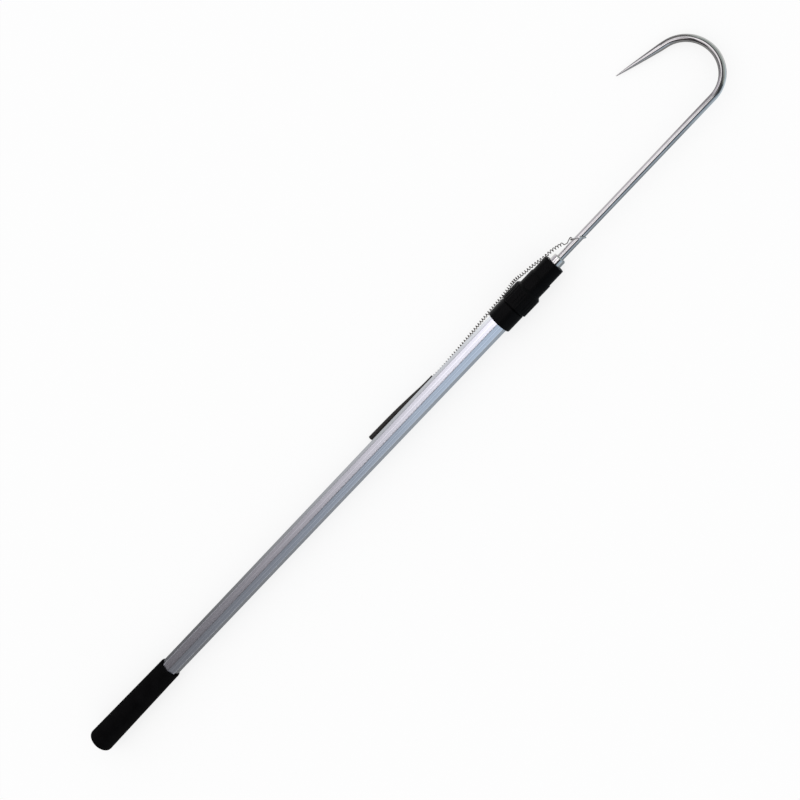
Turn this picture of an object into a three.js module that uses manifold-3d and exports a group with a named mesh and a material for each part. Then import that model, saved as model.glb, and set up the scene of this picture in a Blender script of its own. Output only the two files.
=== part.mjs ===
// Telescopic fishing gaff with a spring-held point guard, lying on its side.
// Millimetres. +X runs along the pole from the butt to the hook, +Y is the side of the hook's point,
// +Z is up. The origin is the centre of the butt's flat end, on the pole's axis.
import * as THREE from 'three';
import { mergeVertices } from 'three/addons/utils/BufferGeometryUtils.js';
import Module from 'manifold-3d';

const wasm = await Module();
wasm.setup();

// Clearances shared by pieces that touch or slide
const fitGap = 0.3;
const cutOverrun = 2;
const mergeReach = 1e-5;

// Eight-sided tubes, measured across flats
const outerFlats = 22;
const outerWall = 1.0;
const innerFlats = 18;
const innerWall = 1.1;
const tubeCornerRadius = 1.6;
const tubeRollDegrees = 102;

// Stations along the pole
const bootLength = 140.4;
const bootEndWall = 6;
const plugFlange = 2;
const plugLength = 10;
const sleeveStart = 714.3;
const sleeveLength = 22.5;
const sleeveSocketShare = 0.92;
const plugOverlapShare = 0.5;
const nutParting = 1.3;
const ringLength = 22.8;
const ringBevel = 2.1;
const noseALength = 18;
const noseBLength = 20.1;
const ferruleReach = 8.7;
const eyeStandOff = 36;
const shankReach = 219.8;

// Boot
const bootButtRadius = 15.7;
const bootMouthRadius = 13.6;
const bootButtCorner = 2.6;
const bootMouthCorner = 1.0;

// Lock sleeve, screw thread and lock nut
const sleeveShoulder = 2.15;
const sleeveCorner = 1.6;
const sleeveFrontCorner = 0.4;
const screwStation = 10.1;
const spigotLength = 14.5;
const spigotRadius = 12.5;
const threadPitch = 4;
const threadDepth = 0.7;
const threadTurns = 2.5;
const threadCrest = 0.8;
const threadRoot = 1.8;
const threadSteps = 12;
const threadPhaseDegrees = 4;
const ringShoulder = 3.6;
const ringCorner = 0.9;
const noseARadius = 13.25;
const noseBRadius = 12.35;
const noseCorner = 0.9;
const nutWaistBore = 12.6;
const nutLeadIn = 3;

// Collet and slip washer inside the nut
const colletFlange = 3;
const colletConeLength = 18;
const colletFlangeRadius = 12.1;
const colletRearRadius = 11.8;
const colletFrontRadius = 10.8;
const colletSlots = 4;
const slotWidth = 1.2;
const washerThickness = 3.2;
const washerRadius = 11.3;
const washerStandOff = 2;

// Slide bush and the black ring that closes the inner tube
const bushStart = 20;
const bushLength = 76;
const bushSpigot = 30;
const bushBore = 6;
const endRingThickness = 3.2;

// Ferrule, hook and their fasteners
const ferrulePlugRadius = 7.6;
const ferruleNoseRadius = 7.3;
const ferrulePlugLength = 52;
const ferruleChamfer = 1.1;
const rodRadius = 4;
const shankInset = 48;
const bendReach = 34.7;
const bendHalfWidth = 39.6;
const bendEndDegrees = 75.4;
const pointLegLength = 58.2;
const pointTaperShare = 0.9;
const pointTipRadius = 0.35;
const hookSides = 12;
const pointTaperPower = 0.8;
const pinRadius = 1.5;
const pinInset = 34;
const rivetRadius = 1.6;
const rivetDepth = 3;
const rivetInset = 14;
const screwRadius = 2;
const screwHexRadius = 1.1;
const screwHexDepth = 1.2;

// Guard: eye on the shank, spring hook, spring and tube
const eyeWire = 0.6;
const eyeSlant = 1.2;
const beadRadius = 1.5;
const beadLengthShare = 1.6;
const beadHeightShare = 0.75;
const beadDegrees = 105;
const earPower = 6;
const springRadius = 1.9;
const springWire = 0.4;
const springCurls = 62;
const stepsPerCurl = 8;
const springSides = 5;
const guardRadius = 2.8;
const guardBore = 2.25;
const guardReach = 315.4;
const guardTubeLength = 102;
const springInsertion = 8;
const guardPlugLength = 5;
const guardStep = 8.4;
const loopStartDegrees = 75;
const loopTurnDegrees = 238;

// Worked out from the sizes above
const nutStart = sleeveStart + sleeveLength + nutParting;
const ringEnd = nutStart + ringLength;
const noseAStart = ringEnd + ringBevel;
const noseBStart = noseAStart + noseALength;
const nutEnd = noseBStart + noseBLength;
const ferruleEnd = nutEnd + ferruleReach;
const eyeX = nutEnd + eyeStandOff;
const bendX = ferruleEnd + shankReach;
const outerBore = outerFlats - 2 * outerWall;
const innerBore = innerFlats - 2 * innerWall;
const innerTubeEnd = nutEnd - fitGap - endRingThickness - fitGap;
const bushFront = bushStart + bushLength;
const outerTubeStart = bootEndWall + fitGap + plugFlange + fitGap;
const outerTubeEnd = sleeveStart + sleeveLength * sleeveSocketShare;
const sleeveRadius = spigotRadius + sleeveShoulder;
const ringRadius = spigotRadius + ringShoulder;
const axisHeight = ringRadius;

const degrees = (angle) => THREE.MathUtils.degToRad(angle);

// Solids: every piece ends as one closed mesh with merged corners

function toSolid(geometry) {
  const plain = geometry.clone();
  plain.deleteAttribute('normal');
  plain.deleteAttribute('uv');
  const merged = mergeVertices(plain, mergeReach);
  const mesh = new wasm.Mesh({
    numProp: 3,
    vertProperties: new Float32Array(merged.attributes.position.array),
    triVerts: new Uint32Array(merged.index.array),
  });
  return new wasm.Manifold(mesh);
}

function toGeometry(solid) {
  const mesh = solid.getMesh();
  const geometry = new THREE.BufferGeometry();
  const positions = new Float32Array(mesh.numVert * 3);
  for (let vertex = 0; vertex < mesh.numVert; vertex += 1) {
    for (let part = 0; part < 3; part += 1) {
      positions[vertex * 3 + part] = mesh.vertProperties[vertex * mesh.numProp + part];
    }
  }
  geometry.setAttribute('position', new THREE.BufferAttribute(positions, 3));
  geometry.setIndex(Array.from(mesh.triVerts));
  geometry.computeVertexNormals();
  return geometry;
}

// A turned piece: the profile is a list of [station along the pole, radius]
function turned(profile, segments) {
  const points = profile.map(([station, radius]) => new THREE.Vector2(radius, station));
  if (THREE.ShapeUtils.area(points) < 0) points.reverse();
  const closed = points[0].x > 0 ? [...points, points[0].clone()] : points;
  const geometry = new THREE.LatheGeometry(closed, segments);
  geometry.rotateZ(-Math.PI / 2);
  return geometry;
}

function rod(radius, start, end, segments) {
  return turned([[start, 0], [start, radius], [end, radius], [end, 0]], segments);
}

// Corner of a turned profile, rounded in equal steps from one direction to the other
function roundedCorner(station, radius, corner, fromDegrees, toDegrees, steps) {
  const points = [];
  for (let step = 0; step <= steps; step += 1) {
    const angle = degrees(fromDegrees + (toDegrees - fromDegrees) * step / steps);
    points.push([station + corner * Math.cos(angle), radius + corner * Math.sin(angle)]);
  }
  return points;
}

// Eight-sided outline across flats, with one corner at the roll angle from +Y towards +Z
function octagon(acrossFlats, cornerRadius) {
  const shape = new THREE.Shape();
  const cornerReach = (acrossFlats / 2 - cornerRadius) / Math.cos(Math.PI / 8);
  for (let corner = 0; corner < 8; corner += 1) {
    const middle = degrees(tubeRollDegrees) + corner * Math.PI / 4;
    const x = cornerReach * Math.cos(middle);
    const y = cornerReach * Math.sin(middle);
    for (const turn of [-Math.PI / 8, 0, Math.PI / 8]) {
      const px = x + cornerRadius * Math.cos(middle + turn);
      const py = y + cornerRadius * Math.sin(middle + turn);
      if (corner === 0 && turn < 0) shape.moveTo(px, py);
      else shape.lineTo(px, py);
    }
  }
  return shape;
}

// Extrudes an outline drawn in Y and Z along the pole
function prism(shape, start, end) {
  const geometry = new THREE.ExtrudeGeometry(shape, { depth: end - start, bevelEnabled: false, steps: 1 });
  const basis = new THREE.Matrix4().makeBasis(
    new THREE.Vector3(0, 1, 0), new THREE.Vector3(0, 0, 1), new THREE.Vector3(1, 0, 0));
  geometry.applyMatrix4(basis);
  geometry.translate(start, 0, 0);
  return geometry;
}

function octagonBar(acrossFlats, cornerRadius, start, end) {
  return toSolid(prism(octagon(acrossFlats, cornerRadius), start, end));
}

// A round pin along any line, from a start point, with its direction and length
function pinSolid(radius, origin, direction, length, segments) {
  const geometry = new THREE.CylinderGeometry(radius, radius, length, segments);
  geometry.translate(0, length / 2, 0);
  geometry.applyQuaternion(new THREE.Quaternion().setFromUnitVectors(new THREE.Vector3(0, 1, 0), direction));
  geometry.translate(origin.x, origin.y, origin.z);
  return toSolid(geometry);
}

// One unbroken tube through a list of points, its section carried without twist
function sweep(points, radii, sides, firstNormal) {
  const tangents = points.map((point, i) => {
    const before = points[Math.max(i - 1, 0)];
    const after = points[Math.min(i + 1, points.length - 1)];
    return after.clone().sub(before).normalize();
  });
  const positions = [];
  const normal = firstNormal.clone();
  points.forEach((point, i) => {
    normal.addScaledVector(tangents[i], -normal.dot(tangents[i])).normalize();
    const binormal = tangents[i].clone().cross(normal);
    for (let side = 0; side < sides; side += 1) {
      const angle = 2 * Math.PI * side / sides;
      const corner = point.clone()
        .addScaledVector(normal, radii[i] * Math.cos(angle))
        .addScaledVector(binormal, radii[i] * Math.sin(angle));
      positions.push(corner.x, corner.y, corner.z);
    }
  });
  const index = [];
  for (let ring = 0; ring < points.length - 1; ring += 1) {
    for (let side = 0; side < sides; side += 1) {
      const a = ring * sides + side;
      const b = ring * sides + (side + 1) % sides;
      index.push(a, b, b + sides, a, b + sides, a + sides);
    }
  }
  const last = (points.length - 1) * sides;
  for (let side = 1; side < sides - 1; side += 1) {
    index.push(0, side + 1, side);
    index.push(last, last + side, last + side + 1);
  }
  const geometry = new THREE.BufferGeometry();
  geometry.setAttribute('position', new THREE.Float32BufferAttribute(positions, 3));
  geometry.setIndex(index);
  geometry.computeVertexNormals();
  return geometry;
}

// Screw thread: a helical ridge round the pole's axis, for the spigot, and wider for the nut's groove
function threadRidge(rootRadius, crestRadius, start, turns, extraWidth) {
  const steps = Math.round(turns * threadSteps);
  const positions = [];
  const rootHalf = threadRoot / 2 + extraWidth;
  const crestHalf = threadCrest / 2 + extraWidth;
  for (let step = 0; step <= steps; step += 1) {
    const turn = step / threadSteps;
    const angle = degrees(threadPhaseDegrees) + 2 * Math.PI * turn;
    const centre = start + threadPitch * turn;
    const corners = [
      [centre - rootHalf, rootRadius], [centre + rootHalf, rootRadius],
      [centre + crestHalf, crestRadius], [centre - crestHalf, crestRadius],
    ];
    for (const [station, radius] of corners) {
      positions.push(station, radius * Math.cos(angle), radius * Math.sin(angle));
    }
  }
  const index = [];
  for (let step = 0; step < steps; step += 1) {
    for (let side = 0; side < 4; side += 1) {
      const a = step * 4 + side;
      const b = step * 4 + (side + 1) % 4;
      index.push(a, b + 4, a + 4, a, b, b + 4);
    }
  }
  const last = steps * 4;
  index.push(0, 2, 1, 0, 3, 2, last, last + 1, last + 2, last, last + 2, last + 3);
  const geometry = new THREE.BufferGeometry();
  geometry.setAttribute('position', new THREE.Float32BufferAttribute(positions, 3));
  geometry.setIndex(index);
  return toSolid(geometry);
}

// Radial direction of the tube's flat, counted from the first flat past the roll corner
function flatDirection(flat) {
  const angle = degrees(tubeRollDegrees) + Math.PI / 8 + flat * Math.PI / 4;
  return new THREE.Vector3(0, Math.cos(angle), Math.sin(angle));
}

// Materials
const paint = {
  aluminium: { color: 0xc2c6cf, roughness: 0.32, metalness: 1.0 },
  innerAluminium: { color: 0xb9bdc4, roughness: 0.36, metalness: 1.0 },
  blackPlastic: { color: 0x0c0c0e, roughness: 0.45, metalness: 0.0 },
  greyPlastic: { color: 0x3a3b3e, roughness: 0.5, metalness: 0.0 },
  rubber: { color: 0x0a0a0b, roughness: 0.75, metalness: 0.0 },
  stainless: { color: 0xb4b3ad, roughness: 0.14, metalness: 1.0 },
  springSteel: { color: 0x8a8378, roughness: 0.28, metalness: 1.0 },
  blackSteel: { color: 0x26272a, roughness: 0.4, metalness: 1.0 },
  softVinyl: { color: 0x17130f, roughness: 0.42, metalness: 0.0 },
};

const gaff = new THREE.Group();
gaff.name = 'fishing_gaff';

function addPiece(name, geometry, finish, parent = gaff) {
  const mesh = new THREE.Mesh(geometry, new THREE.MeshStandardMaterial(paint[finish]));
  mesh.name = name;
  parent.add(mesh);
  return mesh;
}

// Handle: tube, boot and butt plug

function makeOuterTube() {
  const outside = octagonBar(outerFlats, tubeCornerRadius, outerTubeStart, outerTubeEnd);
  const bore = octagonBar(outerBore, tubeCornerRadius - outerWall / 2,
    outerTubeStart - cutOverrun, outerTubeEnd + cutOverrun);
  return toGeometry(outside.subtract(bore));
}

function makeButtBoot() {
  const profile = [
    [0, 0],
    ...roundedCorner(bootButtCorner, bootButtRadius - bootButtCorner, bootButtCorner, 180, 90, 4),
    ...roundedCorner(bootLength - bootMouthCorner, bootMouthRadius - bootMouthCorner,
      bootMouthCorner, 90, 0, 2),
    [bootLength, 0],
  ];
  const pocket = octagonBar(outerFlats + 2 * fitGap, tubeCornerRadius,
    bootEndWall, bootLength + cutOverrun);
  return toGeometry(toSolid(turned(profile, 32)).subtract(pocket));
}

function makeButtPlug() {
  const start = bootEndWall + fitGap;
  const flange = octagonBar(outerFlats, tubeCornerRadius, start, start + plugFlange);
  const body = octagonBar(outerBore - 2 * fitGap, tubeCornerRadius - outerWall / 2,
    start + plugOverlapShare * plugFlange, start + plugLength);
  return toGeometry(flange.add(body));
}

// Lock: sleeve with its threaded spigot, grub screws, collet, slip washer and nut

const spigotEnd = sleeveStart + sleeveLength + spigotLength;
const threadStart = sleeveStart + sleeveLength + threadRoot + fitGap;
const keyedBore = innerFlats + 2 * fitGap;
const keyedCorner = tubeCornerRadius - outerWall / 2;

function makeLockSleeve() {
  const bodyEnd = sleeveStart + sleeveLength;
  const profile = [
    [sleeveStart, 0],
    ...roundedCorner(sleeveStart + sleeveCorner, sleeveRadius - sleeveCorner, sleeveCorner, 180, 90, 3),
    ...roundedCorner(bodyEnd - sleeveFrontCorner, sleeveRadius - sleeveFrontCorner,
      sleeveFrontCorner, 90, 0, 1),
    [bodyEnd, spigotRadius],
    [spigotEnd, spigotRadius],
    [spigotEnd, 0],
  ];
  let sleeve = toSolid(turned(profile, 32));
  sleeve = sleeve.add(threadRidge(spigotRadius - threadDepth, spigotRadius + threadDepth,
    threadStart, threadTurns, 0));
  sleeve = sleeve.subtract(octagonBar(outerFlats + 2 * fitGap, tubeCornerRadius,
    sleeveStart - cutOverrun, outerTubeEnd + fitGap));
  sleeve = sleeve.subtract(octagonBar(keyedBore, keyedCorner, sleeveStart, spigotEnd + cutOverrun));
  for (const line of screwLines()) {
    const length = sleeveRadius + cutOverrun;
    sleeve = sleeve.subtract(pinSolid(screwRadius + fitGap, line.centre, line.direction, length, 16));
  }
  return toGeometry(sleeve);
}

// The grub screws stand square on the two flats nearest to the underside
function screwLines() {
  const centre = new THREE.Vector3(sleeveStart + screwStation, 0, 0);
  return [3, 2].map((flat) => ({ centre, direction: flatDirection(flat) }));
}

function makeSleeveScrew(line) {
  const seat = outerFlats / 2 + fitGap;
  const head = sleeveRadius - fitGap;
  const start = line.centre.clone().addScaledVector(line.direction, seat);
  const screw = pinSolid(screwRadius, start, line.direction, head - seat, 16);
  const recessStart = line.centre.clone().addScaledVector(line.direction, head - screwHexDepth);
  const recess = pinSolid(screwHexRadius, recessStart, line.direction, screwHexDepth + cutOverrun, 6);
  return toGeometry(screw.subtract(recess));
}

const colletStart = spigotEnd + fitGap;
const coneStart = colletStart + colletFlange;
const coneEnd = coneStart + colletConeLength;

function makeCollet() {
  const profile = [
    [colletStart, 0], [colletStart, colletFlangeRadius], [coneStart, colletFlangeRadius],
    [coneStart, colletRearRadius], [coneEnd, colletFrontRadius], [coneEnd, 0],
  ];
  let collet = toSolid(turned(profile, 32));
  collet = collet.subtract(octagonBar(keyedBore, keyedCorner,
    colletStart - cutOverrun, coneEnd + cutOverrun));
  for (let slot = 0; slot < colletSlots; slot += 1) {
    const cut = new THREE.BoxGeometry(colletConeLength + cutOverrun, slotWidth, colletFlangeRadius + cutOverrun);
    cut.translate(coneStart + fitGap + (colletConeLength + cutOverrun) / 2, 0,
      (colletFlangeRadius + cutOverrun) / 2);
    cut.rotateX(degrees(tubeRollDegrees) + Math.PI / 8 + slot * 2 * Math.PI / colletSlots);
    collet = collet.subtract(toSolid(cut));
  }
  return toGeometry(collet);
}

const washerStart = coneEnd + washerStandOff;

function makeSlipWasher() {
  const blank = toSolid(rod(washerRadius, washerStart, washerStart + washerThickness, 32));
  const bore = octagonBar(keyedBore, keyedCorner, washerStart - cutOverrun,
    washerStart + washerThickness + cutOverrun);
  return toGeometry(blank.subtract(bore));
}

function makeLockNut() {
  const outside = [
    [nutStart, 0],
    ...roundedCorner(nutStart + ringCorner, ringRadius - ringCorner, ringCorner, 180, 90, 3),
    ...roundedCorner(ringEnd - ringCorner, ringRadius - ringCorner, ringCorner, 90, 45, 2),
    [noseAStart, noseARadius],
    [noseBStart - (noseARadius - noseBRadius), noseARadius],
    [noseBStart, noseBRadius],
    ...roundedCorner(nutEnd - noseCorner, noseBRadius - noseCorner, noseCorner, 90, 0, 3),
    [nutEnd, 0],
  ];
  const tubeCorner = innerFlats / 2 / Math.cos(Math.PI / 8);
  const mouth = tubeCorner + fitGap;
  const washerRoom = washerRadius + fitGap;
  const leadInRadius = spigotRadius + threadDepth + 2 * fitGap;
  const inside = [
    [nutStart - cutOverrun, 0],
    [nutStart - cutOverrun, leadInRadius],
    [nutStart + nutLeadIn, leadInRadius],
    [nutStart + nutLeadIn, spigotRadius + fitGap],
    [spigotEnd + fitGap, spigotRadius + fitGap],
    [spigotEnd + fitGap, nutWaistBore],
    [coneStart + fitGap, nutWaistBore],
    [coneStart + fitGap, colletRearRadius + fitGap],
    [coneEnd + fitGap, colletFrontRadius + fitGap],
    [washerStart - fitGap, colletFrontRadius + fitGap],
    [washerStart - fitGap, washerRoom],
    [washerStart + washerThickness + fitGap, washerRoom],
    [washerStart + washerThickness + fitGap, mouth],
    [nutEnd + cutOverrun, mouth],
    [nutEnd + cutOverrun, 0],
  ];
  // Between its steps the groove is flat, so it is cut deeper for the ridge's corners to pass there
  const grooveStart = threadStart - threadPitch;
  const grooveTurns = (spigotEnd - threadRoot - grooveStart) / threadPitch;
  const grooveRadius = (spigotRadius + threadDepth + fitGap) / Math.cos(Math.PI / threadSteps);
  const groove = threadRidge(spigotRadius - threadDepth, grooveRadius, grooveStart, grooveTurns, fitGap);
  const turnedNut = toSolid(turned(outside, 32)).subtract(toSolid(turned(inside, 24)));
  return toGeometry(turnedNut.subtract(groove));
}

// Extension: inner tube, slide bush, ferrule, hook and their fasteners

function makeInnerTube() {
  const outside = octagonBar(innerFlats, keyedCorner, bushFront + fitGap, innerTubeEnd);
  let tube = outside.subtract(octagonBar(innerBore, keyedCorner - innerWall / 2,
    bushFront - cutOverrun, innerTubeEnd + cutOverrun));
  for (const line of rivetLines()) {
    tube = tube.subtract(pinSolid(rivetRadius + fitGap, line.centre, line.direction, innerFlats, 12));
  }
  return toGeometry(tube);
}

function rivetLines() {
  const bushCentre = new THREE.Vector3(bushFront + rivetInset, 0, 0);
  const ferruleCentre = new THREE.Vector3(innerTubeEnd - rivetInset, 0, 0);
  return [
    { name: 'bush_rivet_1', centre: bushCentre, direction: flatDirection(1) },
    { name: 'bush_rivet_2', centre: bushCentre, direction: flatDirection(5) },
    { name: 'ferrule_rivet_1', centre: ferruleCentre, direction: flatDirection(1) },
    { name: 'ferrule_rivet_2', centre: ferruleCentre, direction: flatDirection(5) },
  ];
}

const rivetSeat = innerBore / 2 - rivetDepth;

function makeRivet(line) {
  const start = line.centre.clone().addScaledVector(line.direction, rivetSeat);
  return toGeometry(pinSolid(rivetRadius, start, line.direction, innerFlats / 2 - rivetSeat, 12));
}

function rivetHole(line) {
  const start = line.centre.clone().addScaledVector(line.direction, rivetSeat - fitGap);
  return pinSolid(rivetRadius + fitGap, start, line.direction, innerFlats, 12);
}

function makeSlideBush() {
  const body = octagonBar(outerBore - 2 * fitGap, keyedCorner, bushStart, bushFront);
  const spigot = octagonBar(innerBore - 2 * fitGap, keyedCorner - innerWall / 2,
    bushFront - cutOverrun, bushFront + bushSpigot);
  const bore = toSolid(rod(bushBore, bushStart - cutOverrun, bushFront + bushSpigot + cutOverrun, 20));
  let bush = body.add(spigot).subtract(bore);
  for (const line of rivetLines().slice(0, 2)) bush = bush.subtract(rivetHole(line));
  return toGeometry(bush);
}

function pinLine() {
  const half = ferrulePlugRadius;
  const direction = new THREE.Vector3(0, 0, 1);
  return { start: new THREE.Vector3(innerTubeEnd - pinInset, 0, -half), direction, length: 2 * half };
}

function pinHole() {
  const { start, direction, length } = pinLine();
  const from = start.clone().addScaledVector(direction, -cutOverrun);
  return pinSolid(pinRadius + fitGap, from, direction, length + 2 * cutOverrun, 12);
}

function makeHookPin() {
  const { start, direction, length } = pinLine();
  return toGeometry(pinSolid(pinRadius, start, direction, length, 12));
}

function makeHookFerrule() {
  const profile = [
    [innerTubeEnd - ferrulePlugLength, 0],
    [innerTubeEnd - ferrulePlugLength, ferrulePlugRadius],
    [innerTubeEnd - fitGap, ferrulePlugRadius],
    [innerTubeEnd - fitGap, ferruleNoseRadius],
    [ferruleEnd - ferruleChamfer, ferruleNoseRadius],
    [ferruleEnd, ferruleNoseRadius - ferruleChamfer],
    [ferruleEnd, 0],
  ];
  const bore = toSolid(rod(rodRadius + fitGap, innerTubeEnd - ferrulePlugLength - cutOverrun,
    ferruleEnd + cutOverrun, 24));
  let ferrule = toSolid(turned(profile, 32)).subtract(bore).subtract(pinHole());
  for (const line of rivetLines().slice(2)) ferrule = ferrule.subtract(rivetHole(line));
  return toGeometry(ferrule);
}

function makeTubeEndRing() {
  const start = innerTubeEnd + fitGap;
  const blank = octagonBar(innerFlats, keyedCorner, start, start + endRingThickness);
  const bore = toSolid(rod(ferruleNoseRadius + fitGap, start - cutOverrun,
    start + endRingThickness + cutOverrun, 24));
  return toGeometry(blank.subtract(bore));
}

// The hook's line in its own plane: [station, distance from the axis, radius], with the plane's tilt
// set so that the point's leg comes down to the level that the nut's ring lies on
function hookLine() {
  const line = [];
  const shankStart = innerTubeEnd - shankInset;
  line.push([shankStart, 0, rodRadius]);
  line.push([bendX, 0, rodRadius]);
  const bendSteps = 22;
  for (let step = 1; step <= bendSteps; step += 1) {
    const angle = degrees(-90 + (bendEndDegrees + 90) * step / bendSteps);
    line.push([bendX + bendReach * Math.cos(angle), bendHalfWidth * (1 + Math.sin(angle)), rodRadius]);
  }
  const [legX, legY] = line[line.length - 1];
  const endAngle = degrees(bendEndDegrees);
  const direction = new THREE.Vector2(-bendReach * Math.sin(endAngle), bendHalfWidth * Math.cos(endAngle));
  direction.normalize();
  const legShares = [0.1, 0.25, 0.4, 0.55, 0.7, 0.82, 0.92, 1];
  for (const share of legShares) {
    const left = Math.min(1, (1 - share) / pointTaperShare);
    const radius = pointTipRadius + (rodRadius - pointTipRadius) * Math.pow(left, pointTaperPower);
    line.push([legX + direction.x * pointLegLength * share, legY + direction.y * pointLegLength * share, radius]);
  }
  return line;
}

function hookTilt(line) {
  const tilts = line.filter(([, reach]) => reach > bendHalfWidth)
    .map(([, reach, radius]) => Math.asin((axisHeight - radius) / reach));
  return Math.min(...tilts);
}

function makeGaffHook() {
  const line = hookLine();
  const points = line.map(([station, reach]) => new THREE.Vector3(station, reach, 0));
  const radii = line.map(([, , radius]) => radius);
  const geometry = sweep(points, radii, hookSides, new THREE.Vector3(0, 0, 1));
  geometry.rotateX(-hookTilt(line));
  return toGeometry(toSolid(geometry).subtract(pinHole()));
}

// Guard eye: a wire ring slanted round the shank, with an ear towards +Y that the spring hook turns on

const eyeHug = rodRadius + fitGap + eyeWire;
const loopRadius = eyeWire + fitGap + springWire;
const earRadius = rodRadius + fitGap + springWire + loopRadius;
const earX = eyeX - eyeSlant * eyeHug;

function makeGuardEye() {
  const steps = 28;
  const sides = 6;
  const positions = [];
  const centres = [];
  for (let step = 0; step < steps; step += 1) {
    const angle = 2 * Math.PI * step / steps;
    const ear = Math.pow((1 + Math.cos(angle)) / 2, earPower);
    const radius = eyeHug + (earRadius - eyeHug) * ear;
    centres.push(new THREE.Vector3(eyeX - eyeSlant * eyeHug * Math.cos(angle),
      radius * Math.cos(angle), radius * Math.sin(angle)));
  }
  centres.forEach((centre, i) => {
    const tangent = centres[(i + 1) % steps].clone().sub(centres[(i + steps - 1) % steps]).normalize();
    const outward = new THREE.Vector3(0, centre.y, centre.z);
    outward.addScaledVector(tangent, -outward.dot(tangent)).normalize();
    const across = tangent.clone().cross(outward);
    for (let side = 0; side < sides; side += 1) {
      const angle = 2 * Math.PI * side / sides;
      const corner = centre.clone().addScaledVector(outward, eyeWire * Math.cos(angle))
        .addScaledVector(across, eyeWire * Math.sin(angle));
      positions.push(corner.x, corner.y, corner.z);
    }
  });
  const index = [];
  for (let ring = 0; ring < steps; ring += 1) {
    const next = (ring + 1) % steps;
    for (let side = 0; side < sides; side += 1) {
      const other = (side + 1) % sides;
      index.push(ring * sides + side, ring * sides + other, next * sides + other);
      index.push(ring * sides + side, next * sides + other, next * sides + side);
    }
  }
  const ring = new THREE.BufferGeometry();
  ring.setAttribute('position', new THREE.Float32BufferAttribute(positions, 3));
  ring.setIndex(index);
  const bead = new THREE.SphereGeometry(beadRadius, 10, 7);
  bead.scale(beadLengthShare, 1, beadHeightShare);
  const beadAngle = degrees(beadDegrees);
  bead.rotateX(beadAngle - Math.PI / 2);
  bead.translate(eyeX - eyeSlant * eyeHug * Math.cos(beadAngle),
    eyeHug * Math.cos(beadAngle), eyeHug * Math.sin(beadAngle));
  const roomReach = eyeSlant * earRadius + beadLengthShare * beadRadius + cutOverrun;
  const shankRoom = toSolid(rod(rodRadius + fitGap, eyeX - roomReach, eyeX + roomReach, 24));
  return toGeometry(toSolid(ring).add(toSolid(bead)).subtract(shankRoom));
}

// The line that spring and guard tube lie along, from the spring hook back beside the pole.
// It keeps clear of the nut's ring all the way, so that the guard passes the lock as the pole extends.

const springLane = ringRadius + springRadius + fitGap;
const guardLane = ringRadius + guardRadius + fitGap;
const guardLevel = -(axisHeight - guardRadius);
const guardSide = Math.sqrt(guardLane * guardLane - guardLevel * guardLevel);
const guardEndX = earX - guardReach;

function springRoute() {
  // share of the guard's reach behind the eye, share of the spring's lane, degrees from +Y towards +Z
  const laneShares = [
    [0.020, 0.38, 14], [0.045, 0.60, 40], [0.070, 0.80, 50], [0.105, 0.89, 50], [0.150, 1.005, 45],
    [0.176, 1.025, 41], [0.197, 1.025, 34], [0.224, 1.02, 18], [0.250, 1.02, 1], [0.2995, 1.015, -14],
    [0.382, 1.012, -23], [0.455, 1.012, -30], [0.5115, 1.012, -35], [0.582, 1.02, -40],
  ];
  // share of the guard's reach behind the eye, share of the guard's lane beside the pole
  const sideShares = [
    [0.634, 0.995], [0.666, 1.003], [0.714, 1.012], [0.787, 1.115], [0.869, 1.215], [1, 1.275],
  ];
  const points = laneShares.map(([behindShare, laneShare, angle]) => new THREE.Vector3(
    earX - guardReach * behindShare,
    springLane * laneShare * Math.cos(degrees(angle)),
    springLane * laneShare * Math.sin(degrees(angle))));
  sideShares.forEach(([behindShare, sideShare]) => points.push(new THREE.Vector3(
    earX - guardReach * behindShare, guardSide * sideShare, guardLevel)));
  return new THREE.CatmullRomCurve3(points, false, 'centripetal');
}

const route = springRoute();
const routeLength = route.getLength();
const guardTubeStart = routeLength - guardTubeLength;
const springLength = guardTubeStart + springInsertion;
const springCoilRadius = springRadius - springWire;

function routePoint(along) {
  return route.getPointAt(THREE.MathUtils.clamp(along / routeLength, 0, 1));
}

// The spring's wire as stations: how far along the route, and how far round the coil. At both ends the
// wire eases out of the coil without leaving its outer size, and runs straight for one wire diameter.
const leadAdvanceShares = [0.45, 0.95, 1.6, 2.3];
const leadTurnShares = [0.8, 1.4, 1.8, 2.0];

function springWireStations() {
  const curlStep = 2 * Math.PI / stepsPerCurl;
  const advances = leadAdvanceShares.map((share) => share * springCoilRadius);
  const turns = leadTurnShares.map((share) => share * curlStep);
  const lead = advances[advances.length - 1] + 2 * springWire;
  const samples = springCurls * stepsPerCurl;
  const coilLength = springLength - 2 * lead;
  const ease = advances.map((advance, i) => ({ advance, turn: turns[i] }));
  ease.push({ advance: lead, turn: turns[turns.length - 1] });
  const stations = [...ease].reverse().map(({ advance, turn }) => ({ along: lead - advance, angle: -turn }));
  for (let sample = 0; sample <= samples; sample += 1) {
    stations.push({ along: lead + coilLength * sample / samples, angle: sample * curlStep });
  }
  ease.forEach(({ advance, turn }) => stations.push({ along: lead + coilLength + advance,
    angle: samples * curlStep + turn }));
  return stations;
}

function springWireLine() {
  const normal = new THREE.Vector3(0, 0, 1);
  const tangents = [];
  const points = springWireStations().map(({ along, angle }) => {
    const tangent = route.getTangentAt(THREE.MathUtils.clamp(along / routeLength, 0, 1));
    normal.addScaledVector(tangent, -normal.dot(tangent)).normalize();
    const binormal = tangent.clone().cross(normal);
    tangents.push(tangent);
    return routePoint(along)
      .addScaledVector(normal, springCoilRadius * Math.cos(angle))
      .addScaledVector(binormal, springCoilRadius * Math.sin(angle));
  });
  return { points, startDirection: tangents[0].clone().negate() };
}

const springPath = springWireLine();

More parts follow.
